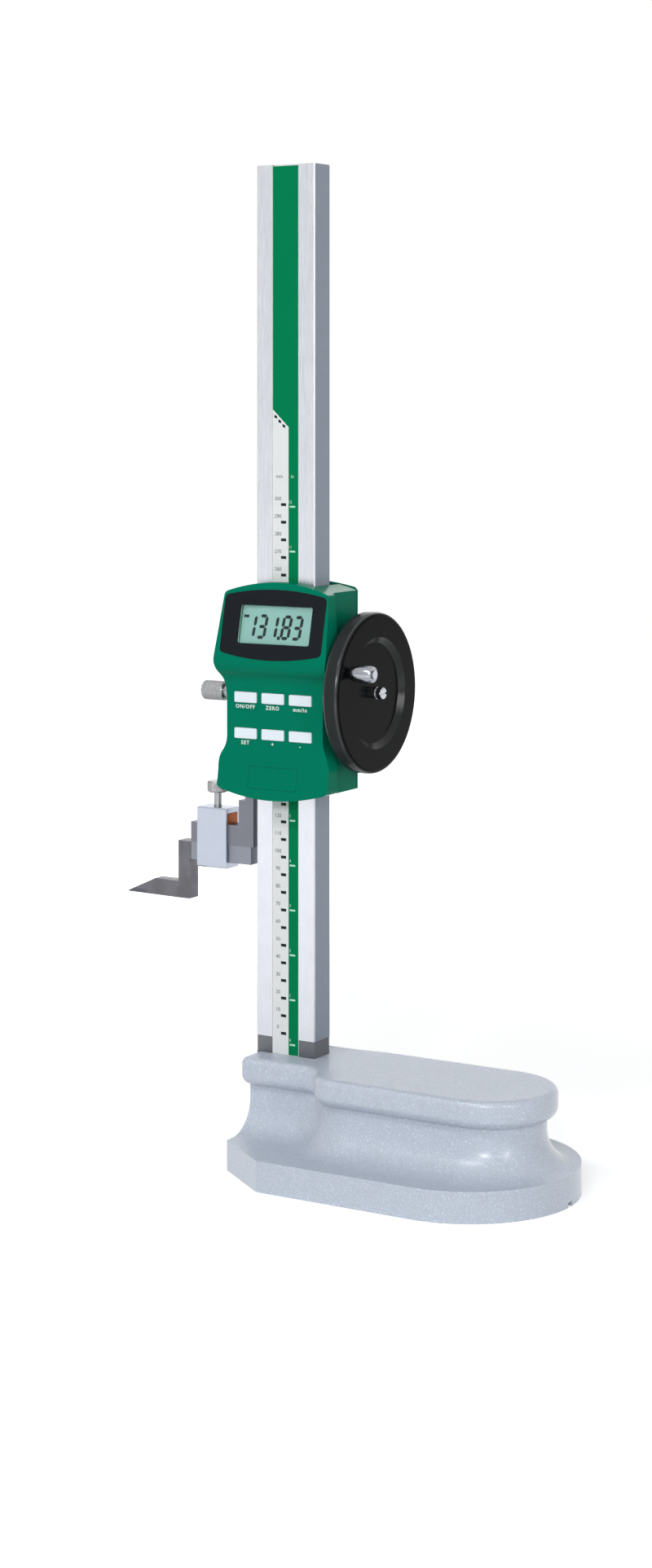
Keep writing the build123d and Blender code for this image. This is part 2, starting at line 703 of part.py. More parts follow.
def gib_screw_heights():
    return (LOCK_HEIGHT - GIB_SCREW_OFFSET, LOCK_HEIGHT + GIB_SCREW_OFFSET)


def gib_strip():
    """Brass strip between the frame and the left side of the column."""
    half = COLUMN_DEPTH / 2 - COLUMN_EDGE
    return block(
        (GIB_LEFT, GIB_LEFT + GIB_THICKNESS),
        (-half, half),
        (FRAME_BOTTOM + GIB_END_MARGIN, FRAME_TOP - GIB_END_MARGIN),
    )


def gib_screws():
    """Grub screws that set the play of the gib."""
    screws = []
    for z in gib_screw_heights():
        start = -FRAME_HALF + GIB_SCREW_SUNK
        screw = rod_x((start, GIB_LEFT - RUNNING_CLEARANCE), 0, z, GIB_SCREW_RADIUS)
        slot = (start - 1, start + GIB_SLOT_DEPTH)
        screw -= block(slot, (-GIB_SCREW_RADIUS, GIB_SCREW_RADIUS), (z - 0.4, z + 0.4))
        screws.append(screw)
    return group(screws)


def lock_screw():
    """Knurled screw that presses the gib against the column."""
    knob_right = LOCK_KNOB_LEFT + LOCK_KNOB_LENGTH
    knob = rod_x((LOCK_KNOB_LEFT, knob_right), 0, LOCK_HEIGHT, LOCK_KNOB_RADIUS)
    knob = chamfer(knob.edges().filter_by(GeomType.CIRCLE), 0.8)
    collar = rod_x((knob_right, knob_right + 3), 0, LOCK_HEIGHT, LOCK_STEM_RADIUS + 1)
    end = GIB_LEFT - RUNNING_CLEARANCE
    return knob + collar + rod_x((knob_right, end), 0, LOCK_HEIGHT, LOCK_STEM_RADIUS)


# Scriber and clamp

def clamp_box():
    """Square sleeve that draws the scriber up against the jaw bar."""
    y = (-CLAMP_DEPTH / 2, CLAMP_DEPTH / 2)
    body = block((CLAMP_LEFT, CLAMP_RIGHT), y, (CLAMP_BOTTOM, CLAMP_TOP))
    body = chamfer(body.edges().filter_by(Axis.X), CLAMP_EDGE)
    half = JAW_THICKNESS / 2 + FIT_CLEARANCE
    body -= block((-FAR, FAR), (-half, half), (CLAMP_BOTTOM + CLAMP_FLOOR, PAD_TOP))
    hole = (PAD_TOP - 1, CLAMP_TOP + 1)
    return body - rod_z(CLAMP_X, 0, hole, CLAMP_STEM_RADIUS + RUNNING_CLEARANCE)


def clamp_pad():
    """Brass pad between the clamp screw and the jaw bar."""
    y = (-JAW_THICKNESS / 2, JAW_THICKNESS / 2)
    x = (CLAMP_LEFT + 0.5, CLAMP_RIGHT + 0.3)
    return block(x, y, (JAW_BAR_TOP, PAD_TOP - FIT_CLEARANCE))


def clamp_screw():
    """Knurled thumbscrew on top of the clamp."""
    knob_z = (CLAMP_KNOB_BOTTOM, CLAMP_KNOB_BOTTOM + CLAMP_KNOB_HEIGHT)
    knob = rod_z(CLAMP_X, 0, knob_z, CLAMP_KNOB_RADIUS)
    knob = chamfer(knob.edges().filter_by(GeomType.CIRCLE), 0.7)
    stem = (PAD_TOP, CLAMP_KNOB_BOTTOM)
    return knob + rod_z(CLAMP_X, 0, stem, CLAMP_STEM_RADIUS)


def scriber_profile():
    """Side view of the scriber: shank, leg, and a blade down to the tip."""
    return Polyline(
        (SHANK_RIGHT, SHANK_TOP),
        (LEG_LEFT, SHANK_TOP),
        (LEG_LEFT, TIP_HEIGHT + BLADE_HEIGHT),
        (BLADE_FLAT_LEFT, TIP_HEIGHT + BLADE_HEIGHT),
        (TIP_X, TIP_HEIGHT + 0.6),
        (TIP_X, TIP_HEIGHT),
        (LEG_RIGHT, TIP_HEIGHT),
        (LEG_RIGHT, SHANK_BOTTOM),
        (SHANK_RIGHT, SHANK_BOTTOM),
        close=True,
    )


def scriber_blank():
    """The scriber before its tip is inlaid; the blade narrows towards the tip."""
    half = SCRIBER_THICKNESS / 2
    body = extrude(Plane.XZ.offset(-half) * make_face(scriber_profile()), SCRIBER_THICKNESS)
    plan = Polyline(
        (SHANK_RIGHT + 1, -half),
        (SHANK_RIGHT + 1, half),
        (LEG_LEFT, half),
        (TIP_X, BLADE_TIP_WIDTH / 2),
        (TIP_X, -BLADE_TIP_WIDTH / 2),
        (LEG_LEFT, -half),
        close=True,
    )
    return body & (Pos(0, 0, TIP_HEIGHT - 1) * extrude(make_face(plan), SHANK_TOP))


def carbide_pocket():
    return block(
        (TIP_X - 1, TIP_X + CARBIDE_LENGTH),
        (-SCRIBER_THICKNESS, SCRIBER_THICKNESS),
        (TIP_HEIGHT - 1, TIP_HEIGHT + CARBIDE_HEIGHT),
    )


def scriber():
    return scriber_blank() - carbide_pocket()


def carbide_tip():
    """Brazed carbide along the lower edge of the blade."""
    return scriber_blank() & carbide_pocket()


# Moulded covers

def mirrored(half_outline):
    """A face from the right half of an outline that starts and ends on the middle line."""
    return make_face(half_outline + mirror(half_outline, about=Plane.YZ))


def cover_front_view(inset):
    """Outline seen from the front: display hood, waist and lower bulge."""
    top_corner = (COVER_TOP_HALF, COVER_TOP_CORNER)
    display_corner = (COVER_DISPLAY_HALF, COVER_DISPLAY_Z)
    waist_top = (COVER_WAIST, COVER_WAIST_TOP)
    waist_bottom = (COVER_WAIST, COVER_WAIST_BOTTOM)
    lower_top = (COVER_LOWER_HALF, COVER_LOWER_Z)
    lower_corner = (COVER_LOWER_HALF, COVER_BOTTOM_CORNER)
    top_arch = ThreePointArc(
        (-COVER_TOP_HALF, COVER_TOP_CORNER),
        (0, COVER_TOP),
        top_corner,
    )
    bottom_arch = ThreePointArc(
        (-COVER_LOWER_HALF, COVER_BOTTOM_CORNER),
        (0, COVER_BOTTOM),
        lower_corner,
    )
    right = Line(top_corner, display_corner)
    right += s_bend(display_corner, waist_top, (0, -1))
    right += Line(waist_top, waist_bottom)
    right += s_bend(waist_bottom, lower_top, (0, -1))
    right += Line(lower_top, lower_corner)
    left = mirror(right, about=Plane.YZ)
    face = make_face(top_arch + right + bottom_arch + left)
    corners = face.vertices().group_by(Axis.Y)
    face = fillet(corners[0] + corners[-1], COVER_CORNER_RADIUS)
    if inset:
        face = offset(face, -inset, kind=Kind.INTERSECTION)
    return extrude(Plane.XZ.offset(-FAR) * face, 2 * FAR)


def cover_side_view(inset, back):
    """Outline seen from the side, in Y and Z: leaning display, key face, lower bulge.

    It runs past the top and the bottom, so that only the arches of the front view cut them.
    """
    overrun = 2 * WALL
    high = COVER_TOP + overrun
    low = COVER_BOTTOM - overrun
    display_top = (DISPLAY_TOP_Y + overrun * tan(DISPLAY_TILT), high)
    display_bottom = (DISPLAY_BOTTOM_Y, DISPLAY_BOTTOM_Z)
    key_top = (KEY_FACE_Y, KEY_FACE_TOP)
    key_bottom = (KEY_FACE_Y, KEY_FACE_BOTTOM)
    lower_top = (LOWER_FACE_Y, LOWER_FACE_TOP)
    lower_edge = (LOWER_EDGE_Y, low)
    reach = back + 2 * WALL
    outline = Line(display_top, display_bottom)
    outline += s_bend(display_bottom, key_top, (0, -1))
    outline += Line(key_top, key_bottom)
    outline += s_bend(key_bottom, lower_top, (0, -1))
    outline += TangentArc(Vector(*lower_top), Vector(*lower_edge), tangent=(0, -1))
    outline += Line(lower_edge, (reach, low))
    outline += Line((reach, low), (reach, high))
    outline += Line((reach, high), display_top)
    face = make_face(outline)
    if inset:
        face = offset(face, -inset, kind=Kind.INTERSECTION)
    return extrude(Plane.YZ.offset(-FAR) * face, 2 * FAR)


def cover_plan_view(inset, back):
    """Outline seen from above: wide in front, flared in to the side walls."""
    front = DISPLAY_BOTTOM_Y - 10
    wide = COVER_LOWER_HALF + 1 - inset
    narrow = COVER_WAIST - inset
    half = Line((0, front), (wide, front))
    half += Line((wide, front), (wide, FLARE_FRONT_Y))
    half += s_bend((wide, FLARE_FRONT_Y), (narrow, FLARE_BACK_Y), (0, 1))
    half += Line((narrow, FLARE_BACK_Y), (narrow, back))
    half += Line((narrow, back), (0, back))
    return extrude(mirrored(half), 2 * FAR)


def cover_form(inset, back):
    """The three views crossed; the cavity of the moulding is the same form inset."""
    form = cover_front_view(inset) & cover_side_view(inset, back)
    return form & cover_plan_view(inset, back)


def cover_shell():
    """Front moulding before its openings, with even walls and an open back."""
    outer = cover_form(0.0, COVER_SPLIT_Y)
    inner = cover_form(WALL, COVER_SPLIT_Y + 1)
    shell = outer - inner
    passage = COLUMN_HALF + COLUMN_GAP
    shell -= block(
        (-passage, passage),
        (COLUMN_FRONT_Y - COLUMN_GAP, FAR),
        (0, 2 * FAR),
    )
    shell -= block(
        (-FRAME_HALF - FIT_CLEARANCE, -COLUMN_HALF),
        (-JAW_THICKNESS / 2 - FIT_CLEARANCE, FAR),
        (0, FRAME_BOTTOM),
    )
    return shell


def lid_prism(gap):
    """The outline of the battery lid, taken through the front wall."""
    half = LID_HALF_WIDTH - gap
    outline = RectangleRounded(2 * half, LID_TOP - LID_BOTTOM - 2 * gap, 1.5)
    middle = (LID_TOP + LID_BOTTOM) / 2
    return Pos(0, MAIN_BOARD_Y, middle) * Rot(90, 0, 0) * extrude(outline, FAR)


def bezel_plan(grow=0.0):
    """Display surround, arched at the top and at the bottom."""
    half = BEZEL_HALF_WIDTH + grow
    corner = BEZEL_CORNER_V + grow
    crown = corner + BEZEL_ARCH
    outline = ThreePointArc((-half, corner), (0, crown), (half, corner))
    outline += Line((half, corner), (half, -corner))
    outline += ThreePointArc((half, -corner), (0, -crown), (-half, -corner))
    outline += Line((-half, -corner), (-half, corner))
    face = make_face(outline)
    return fillet(face.vertices(), 3.0)


def screen_plan(grow=0.0):
    """The viewing opening of the display."""
    opening = RectangleRounded(SCREEN_WIDTH + 2 * grow, SCREEN_HEIGHT + 2 * grow, 1.2)
    return Pos(SCREEN_OFFSET_X, 0) * opening


def on_display(plan, low, high):
    """A plate parallel to the display face, between two heights outside it."""
    return extrude((DISPLAY_PLANE.offset(low)) * plan, high - low)


def key_places():
    """Names and centres of the keys, by rows from the top."""
    places = {}
    for row, row_name in enumerate(("upper", "lower")):
        for column_index, column_name in enumerate(("left", "middle", "right")):
            x = KEY_CENTRE_X + (column_index - 1) * KEY_PITCH
            z = KEY_TOP_ROW_Z - row * KEY_ROW_PITCH
            places[f"key_{row_name}_{column_name}"] = (x, z)
    return places


def key_prism(x, z, y, grow):
    """A rounded key outline, taken between the two values of y."""
    outline = RectangleRounded(KEY_WIDTH + 2 * grow, KEY_HEIGHT + 2 * grow, KEY_CORNER + grow)
    return Pos(x, y[1], z) * Rot(90, 0, 0) * extrude(outline, y[1] - y[0])


def front_cover():
    """Front moulding with its display seat, key windows, battery opening and side holes."""
    shell = cover_shell()
    shell -= on_display(bezel_plan(FIT_CLEARANCE), -BEZEL_RECESS, 10)
    shell -= on_display(screen_plan(), -2 * WALL, 1)
    for x, z in key_places().values():
        shell -= key_prism(x, z, (KEY_FACE_Y - 1, KEY_FACE_Y + 2 * WALL), KEY_CLEARANCE)
    shell -= lid_prism(0.0)
    right = (COVER_WAIST - 2 * WALL, FAR)
    shell -= rod_x(right, SHAFT_Y, DRIVE_HEIGHT, SHAFT_RADIUS + BUSH_WALL + COLUMN_GAP)
    left = (-FAR, -COVER_WAIST + 2 * WALL)
    return shell - rod_x(left, 0, LOCK_HEIGHT, LOCK_STEM_RADIUS + COLUMN_GAP)


def battery_cover():
    """Lid that follows the curve of the lower bulge."""
    return cover_shell() & lid_prism(LID_GAP)


def rear_cover():
    """Shallow back moulding over the pinion housing."""
    outer = rear_form(0.0, COVER_SPLIT_Y)
    inner = rear_form(WALL, COVER_SPLIT_Y - 1)
    shell = outer - inner
    for x, z in cover_screw_places():
        seat = (FRAME_BACK_Y, COVER_BACK_Y)
        shell += rod_y(x, seat, z, COVER_SCREW_HEAD + 1)
        shell -= rod_y(x, (0, FAR), z, COVER_SCREW_RADIUS + RUNNING_CLEARANCE)
        shell -= rod_y(x, (COVER_BACK_Y - 1.2, FAR), z, COVER_SCREW_HEAD + RUNNING_CLEARANCE)
    return shell


def rear_form(inset, front):
    """The front outline carried back to a face with bevelled edges."""
    half = COVER_WAIST - inset
    back = COVER_BACK_Y - inset
    bevel = REAR_BEVEL - inset * tan(pi / 8)
    low = COVER_BOTTOM + inset - ARCH_OVERRUN
    high = COVER_TOP - inset + ARCH_OVERRUN
    body = block((-half, half), (front, back), (low, high))
    body = chamfer(body.faces().sort_by(Axis.Y)[-1].edges(), bevel)
    return body & cover_front_view(inset)


def cover_screw_places():
    x = FRAME_HALF - REAR_BEVEL - COVER_SCREW_HEAD - 1
    low = FRAME_BOTTOM + 6
    high = FRAME_TOP - 6
    return ((-x, low), (x, low), (-x, high), (x, high))


def cover_screws():
    """Pan head screws that hold the rear cover to the frame."""
    screws = []
    for x, z in cover_screw_places():
        seat = COVER_BACK_Y - 1.2
        screw = rod_y(x, (seat, COVER_BACK_Y - 0.1), z, COVER_SCREW_HEAD)
        screw += rod_y(x, (FRAME_BACK_Y - COVER_SCREW_LENGTH, seat), z, COVER_SCREW_RADIUS)
        screws.append(screw)
    return group(screws)


# Display, keys and electronics

def display_bezel():
    """Gloss surround, set into the display face."""
    plate = on_display(bezel_plan(), -BEZEL_RECESS, BEZEL_THICKNESS - BEZEL_RECESS)
    return plate - on_display(screen_plan(), -5, 5)


def display_window():
    """Clear pane in the opening of the surround."""
    top = BEZEL_THICKNESS - BEZEL_RECESS - 0.1
    return on_display(screen_plan(-RUNNING_CLEARANCE), top - WINDOW_THICKNESS, top)


def lcd_module():
    """Liquid crystal cell behind the front wall."""
    glass = Pos(SCREEN_OFFSET_X, 0) * Rectangle(
        SCREEN_WIDTH + 2 * LCD_BORDER,
        SCREEN_HEIGHT + 2 * LCD_BORDER,
    )
    return on_display(glass, -WALL - LCD_THICKNESS, -WALL)


def lcd_holder():
    """Wedge frame that carries the cell off the main board."""
    outline = Pos(SCREEN_OFFSET_X, 0) * Rectangle(SCREEN_WIDTH, SCREEN_HEIGHT)
    outline -= Pos(SCREEN_OFFSET_X, 0) * Rectangle(SCREEN_WIDTH - 6, SCREEN_HEIGHT - 6)
    wedge = on_display(outline, -FAR / 10, -WALL - LCD_THICKNESS)
    return wedge & block((-FAR, FAR), (-FAR, MAIN_BOARD_Y), (0, 2 * FAR))


def post_places():
    """Corner fixings of the main board."""
    x = (FRAME_HALF + SENSOR_HALF_WIDTH) / 2
    low = FRAME_BOTTOM + 2 * POST_RADIUS
    high = FRAME_TOP - 2 * POST_RADIUS
    return ((-x, low), (x, low), (-x, high), (x, high))


def main_board():
    """Circuit board behind the keys and the display."""
    half = FRAME_HALF - BOARD_EDGE_GAP
    y = (MAIN_BOARD_Y, CELL_BACK_Y)
    board = block((-half, half), y, (FRAME_BOTTOM, FRAME_TOP))
    cup = CELL_RADIUS + FIT_CLEARANCE + HOLDER_WALL + FIT_CLEARANCE
    board -= rod_y(0, y, CELL_Z, cup)
    return board - block((-cup, cup), y, (FRAME_BOTTOM - 1, CELL_Z))


def keypad_mat():
    """Rubber mat with a raised pad under each key."""
    xs = [x for x, z in key_places().values()]
    zs = [z for x, z in key_places().values()]
    dome_y = KEY_FACE_Y + WALL + KEY_FLANGE + KEY_TRAVEL + FIT_CLEARANCE
    mat_y = (MAIN_BOARD_Y - 0.8, MAIN_BOARD_Y)
    mat = block(
        (min(xs) - KEY_WIDTH / 2, max(xs) + KEY_WIDTH / 2),
        mat_y,
        (min(zs) - KEY_HEIGHT, max(zs) + KEY_HEIGHT),
    )
    half_width = KEY_WIDTH / 2 - DOME_MARGIN
    half_height = KEY_HEIGHT / 2 - DOME_MARGIN
    for x, z in key_places().values():
        mat += block(
            (x - half_width, x + half_width),
            (dome_y, mat_y[1]),
            (z - half_height, z + half_height),
        )
    return mat


def key(x, z):
    """Key cap with a retaining flange behind the front wall."""
    wall_back = KEY_FACE_Y + WALL
    cap = key_prism(x, z, (KEY_FACE_Y - KEY_RISE, wall_back + KEY_FLANGE), 0.0)
    cap = chamfer(cap.faces().sort_by(Axis.Y)[0].edges(), KEY_EDGE)
    half_width = KEY_WIDTH / 2 + KEY_FLANGE_REACH
    half_height = KEY_HEIGHT / 2 + KEY_FLANGE_REACH
    return cap + block(
        (x - half_width, x + half_width),
        (wall_back + FIT_CLEARANCE, wall_back + KEY_FLANGE),
        (z - half_height, z + half_height),
    )


def battery_holder():
    """Cup for the button cell, behind the lid, with a flange on the main board."""
    cup = CELL_RADIUS + FIT_CLEARANCE + HOLDER_WALL
    front = CELL_BACK_Y - CELL_THICKNESS + HOLDER_FLOOR
    holder = rod_y(0, (front, CELL_BACK_Y + HOLDER_FLOOR), CELL_Z, cup)
    flange_y = (MAIN_BOARD_Y - HOLDER_FLOOR, MAIN_BOARD_Y)
    holder += rod_y(0, flange_y, CELL_Z, cup + HOLDER_FLANGE)
    return holder - rod_y(0, (front - 1, CELL_BACK_Y), CELL_Z, CELL_RADIUS + FIT_CLEARANCE)


def button_cell():
    """Silver oxide button cell."""
    cell = rod_y(0, (CELL_BACK_Y - CELL_THICKNESS, CELL_BACK_Y), CELL_Z, CELL_RADIUS)
    return fillet(cell.edges().filter_by(GeomType.CIRCLE).sort_by(Axis.Y)[:1], 0.6)


# Hand wheel and spinner

def turned_x(profile, x, y, z):
    """A turned shape about an X axis; the profile holds radius and length."""
    body = revolve(Plane.XZ * profile, Axis.Z)
    return Pos(x, y, z) * Rot(0, 90, 0) * body


def wheel_profile():
    """Half section of the wheel: thick rim, sunk web and hub, from the rim's back face."""
    front = RIM_THICKNESS
    web_front = front - WEB_SUNK
    web_back = web_front - WEB_THICKNESS
    hub_back = HUB_BACK_X - (WHEEL_FRONT_X - RIM_THICKNESS)
    dish = RIM_INNER_RADIUS
    rim = Polyline(
        (dish + DISH_SLOPE, 0),
        (WHEEL_RADIUS, 0),
        (WHEEL_RADIUS, front),
        (dish + DISH_SLOPE, front),
        (dish - DISH_SLOPE, web_front),
        (dish - DISH_SLOPE, web_back),
        (dish, web_back),
        close=True,
    )
    rim = make_face(rim)
    outer = rim.vertices().sort_by(Axis.X)[-2:]
    rim = fillet(outer, RIM_ROUNDING)
    web = make_face(
        Polyline(
            (SHAFT_RADIUS, web_back),
            (dish, web_back),
            (dish - DISH_SLOPE, web_front),
            (SHAFT_RADIUS, web_front),
            close=True,
        )
    )
    hub = make_face(
        Polyline(
            (SHAFT_RADIUS, hub_back),
            (HUB_RADIUS - HUB_EDGE, hub_back),
            (HUB_RADIUS, hub_back + HUB_EDGE),
            (HUB_RADIUS, web_front),
            (SHAFT_RADIUS, web_front),
            close=True,
        )
    )
    return rim + web + hub


def hand_wheel():
    """Moulded wheel on the right end of the shaft."""
    back_x = WHEEL_FRONT_X - RIM_THICKNESS
    wheel = turned_x(wheel_profile(), back_x, SHAFT_Y, DRIVE_HEIGHT)
    y, z = spinner_place()
    return wheel - rod_x((back_x - 1, FAR), y, z, SPINNER_PIN_RADIUS + RUNNING_CLEARANCE)


def hub_screw():
    """Grooved stub that holds the wheel on the shaft."""
    seat = WHEEL_FRONT_X - WEB_SUNK
    end = seat + HUB_SCREW_HEIGHT
    shaft_end = WHEEL_FRONT_X - WEB_SUNK - WEB_THICKNESS / 2
    head = rod_x((seat, end), SHAFT_Y, DRIVE_HEIGHT, HUB_SCREW_RADIUS)
    head = fillet(head.edges().filter_by(GeomType.CIRCLE).sort_by(Axis.X)[-1:], 0.8)
    neck = tuple(seat + step for step in HUB_SCREW_NECK_SPAN)
    groove = rod_x(neck, SHAFT_Y, DRIVE_HEIGHT, HUB_SCREW_RADIUS + 1)
    head -= groove - rod_x(neck, SHAFT_Y, DRIVE_HEIGHT, HUB_SCREW_NECK)
    plug = SHAFT_RADIUS - RUNNING_CLEARANCE
    screw = head + rod_x((shaft_end, seat), SHAFT_Y, DRIVE_HEIGHT, plug)
    slot_x = (end - HUB_SCREW_SLOT, end + 1)
    slot_y = (SHAFT_Y - HUB_SCREW_RADIUS - 1, SHAFT_Y + HUB_SCREW_RADIUS + 1)
    slot_z = (DRIVE_HEIGHT - HUB_SCREW_SLOT / 2, DRIVE_HEIGHT + HUB_SCREW_SLOT / 2)
    return screw - block(slot_x, slot_y, slot_z)


def spinner_place():
    """Centre of the spinner, in Y and Z."""
    y = SHAFT_Y + SPINNER_REACH * cos(SPINNER_ANGLE)
    z = DRIVE_HEIGHT + SPINNER_REACH * sin(SPINNER_ANGLE)
    return y, z


def spinner_handle():
    """Tapered turning handle, free on its pin."""
    bore = SPINNER_PIN_RADIUS + RUNNING_CLEARANCE
    outline = Line((bore, 0), (SPINNER_NECK_RADIUS, 0))
    outline += Spline(
        (SPINNER_NECK_RADIUS, 0),
        (SPINNER_BELLY_RADIUS, SPINNER_BELLY),
        (SPINNER_END_RADIUS, SPINNER_LENGTH),
        tangents=((0.5, 1), (-0.5, 1)),
    )
    outline += Line((SPINNER_END_RADIUS, SPINNER_LENGTH), (bore, SPINNER_LENGTH))
    outline += Line((bore, SPINNER_LENGTH), (bore, 0))
    y, z = spinner_place()
    return turned_x(make_face(outline), WHEEL_FRONT_X + SPINNER_GAP, y, z)


def spinner_pin():
    """Shouldered pin, riveted in the wheel, with a low head over the handle."""
    y, z = spinner_place()
    handle_end = WHEEL_FRONT_X + SPINNER_GAP + SPINNER_LENGTH
    pin = rod_x((WHEEL_FRONT_X - RIM_THICKNESS + 1, handle_end + 0.3), y, z, SPINNER_PIN_RADIUS)
    head = rod_x((handle_end + 0.2, handle_end + 1.0), y, z, SPINNER_PIN_RADIUS + 0.8)
    return pin + head


def parts():
    """Every node, by name."""
    nodes = {
        "base_casting": base_casting(),
        "column": column(),
        "column_screws": column_screws(),
        "scale_circuit": scale_circuit(),
        "scale_strip": scale_strip(),
        "rack": rack(),
        "rack_screws": rack_screws(),
        "slider_frame": slider_frame(),
        "gib_strip": gib_strip(),
        "gib_screws": gib_screws(),
        "shaft_bushes": shaft_bushes(),
        "front_cover": front_cover(),
        "rear_cover": rear_cover(),
        "cover_screws": cover_screws(),
        "display_bezel": display_bezel(),
        "display_window": display_window(),
        "lcd_module": lcd_module(),
        "lcd_holder": lcd_holder(),
        "main_board": main_board(),
        "sensor_board": sensor_board(),
        "keypad_mat": keypad_mat(),
        "battery_holder": battery_holder(),
        "button_cell": button_cell(),
        "battery_cover": battery_cover(),
        "clamp_box": clamp_box(),
        "clamp_pad": clamp_pad(),
        "clamp_screw": clamp_screw(),
        "scriber": scriber(),
        "carbide_tip": carbide_tip(),
        "lock_screw": lock_screw(),
        "wheel_shaft": wheel_shaft(),
        "pinion": pinion(),
        "hand_wheel": hand_wheel(),
        "hub_screw": hub_screw(),
        "spinner_handle": spinner_handle(),
        "spinner_pin": spinner_pin(),
    }
    for name, (x, z) in key_places().items():
        nodes[name] = key(x, z)
    return nodes


os.makedirs("parts", exist_ok=True)
for node_name, shape in parts().items():
    export_step(shape, f"parts/{node_name}.step")
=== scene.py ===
"""Looks of a digital height gauge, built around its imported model.

Lengths are in metres, in the model's own frame: +Z up the column, +X along the base and the
display facing -Y.  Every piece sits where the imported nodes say.
"""
import logging
import math
from dataclasses import dataclass, field
from enum import Enum
from typing import Any, Callable, ClassVar, Iterable, Sequence, Union

import bmesh
import bpy
from mathutils import Matrix, Vector


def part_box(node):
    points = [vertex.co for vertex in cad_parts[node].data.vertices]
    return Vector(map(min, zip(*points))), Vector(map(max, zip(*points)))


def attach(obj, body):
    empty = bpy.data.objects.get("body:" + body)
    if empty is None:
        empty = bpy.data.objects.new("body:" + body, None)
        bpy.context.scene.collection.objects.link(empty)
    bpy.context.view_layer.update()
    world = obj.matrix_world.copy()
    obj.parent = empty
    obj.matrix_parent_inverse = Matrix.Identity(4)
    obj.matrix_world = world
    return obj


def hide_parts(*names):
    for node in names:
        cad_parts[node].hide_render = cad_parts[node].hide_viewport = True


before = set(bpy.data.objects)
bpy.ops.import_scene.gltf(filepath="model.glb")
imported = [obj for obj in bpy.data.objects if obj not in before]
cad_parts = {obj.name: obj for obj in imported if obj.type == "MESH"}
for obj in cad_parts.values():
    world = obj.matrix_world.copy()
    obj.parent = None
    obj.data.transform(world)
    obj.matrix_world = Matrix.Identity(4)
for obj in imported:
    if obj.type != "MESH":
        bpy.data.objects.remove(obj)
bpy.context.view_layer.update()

log = logging.getLogger("height_gauge")

Colour = tuple[float, float, float]
Outline = Sequence[tuple[float, float]]
Mesh = bpy.types.Mesh
Shape = bmesh.types.BMesh
Node = bpy.types.Node
Socket = bpy.types.NodeSocket
Level = Union[Socket, float]
Tint = Union[Socket, Colour]

WHITE = (1.0, 1.0, 1.0)
BLACK = (0.0, 0.0, 0.0)

# Limits between which most of a noise lies.
MIDDLE = (0.3, 0.7)

# How far the normals and the distances of one flat face may differ.
SAME_NORMAL = 0.01
SAME_PLANE = 0.00002


def srgb(red: int, green: int, blue: int) -> Colour:
    """Linear colour, as shader sockets take it, from display values of 0 to 255."""
    levels = (value / 255 for value in (red, green, blue))
    return tuple(v / 12.92 if v <= 0.04045 else ((v + 0.055) / 1.055) ** 2.4 for v in levels)


def shaded(colour: Colour, factor: float, lift: float = 0.0) -> Colour:
    """A colour made darker or paler by a factor and a lift, at most full."""
    return tuple(min(1.0, channel * factor + lift) for channel in colour)


class Facing(Enum):
    """Directions that a piece, a plane or a grinding line can have."""

    FRONT = (0.0, -1.0, 0.0)
    BACK = (0.0, 1.0, 0.0)
    LEFT = (-1.0, 0.0, 0.0)
    RIGHT = (1.0, 0.0, 0.0)
    UP = (0.0, 0.0, 1.0)
    DOWN = (0.0, 0.0, -1.0)

    @property
    def vector(self) -> Vector:
        """The unit vector of this direction."""
        return Vector(self.value)


class Body(Enum):
    """The moving bodies that new pieces ride on."""

    BASE = "base"
    SLIDER = "slider"
    LOCK_SCREW = "lock_screw_body"
    CLAMP_SCREW = "clamp_screw_body"


# Node helpers

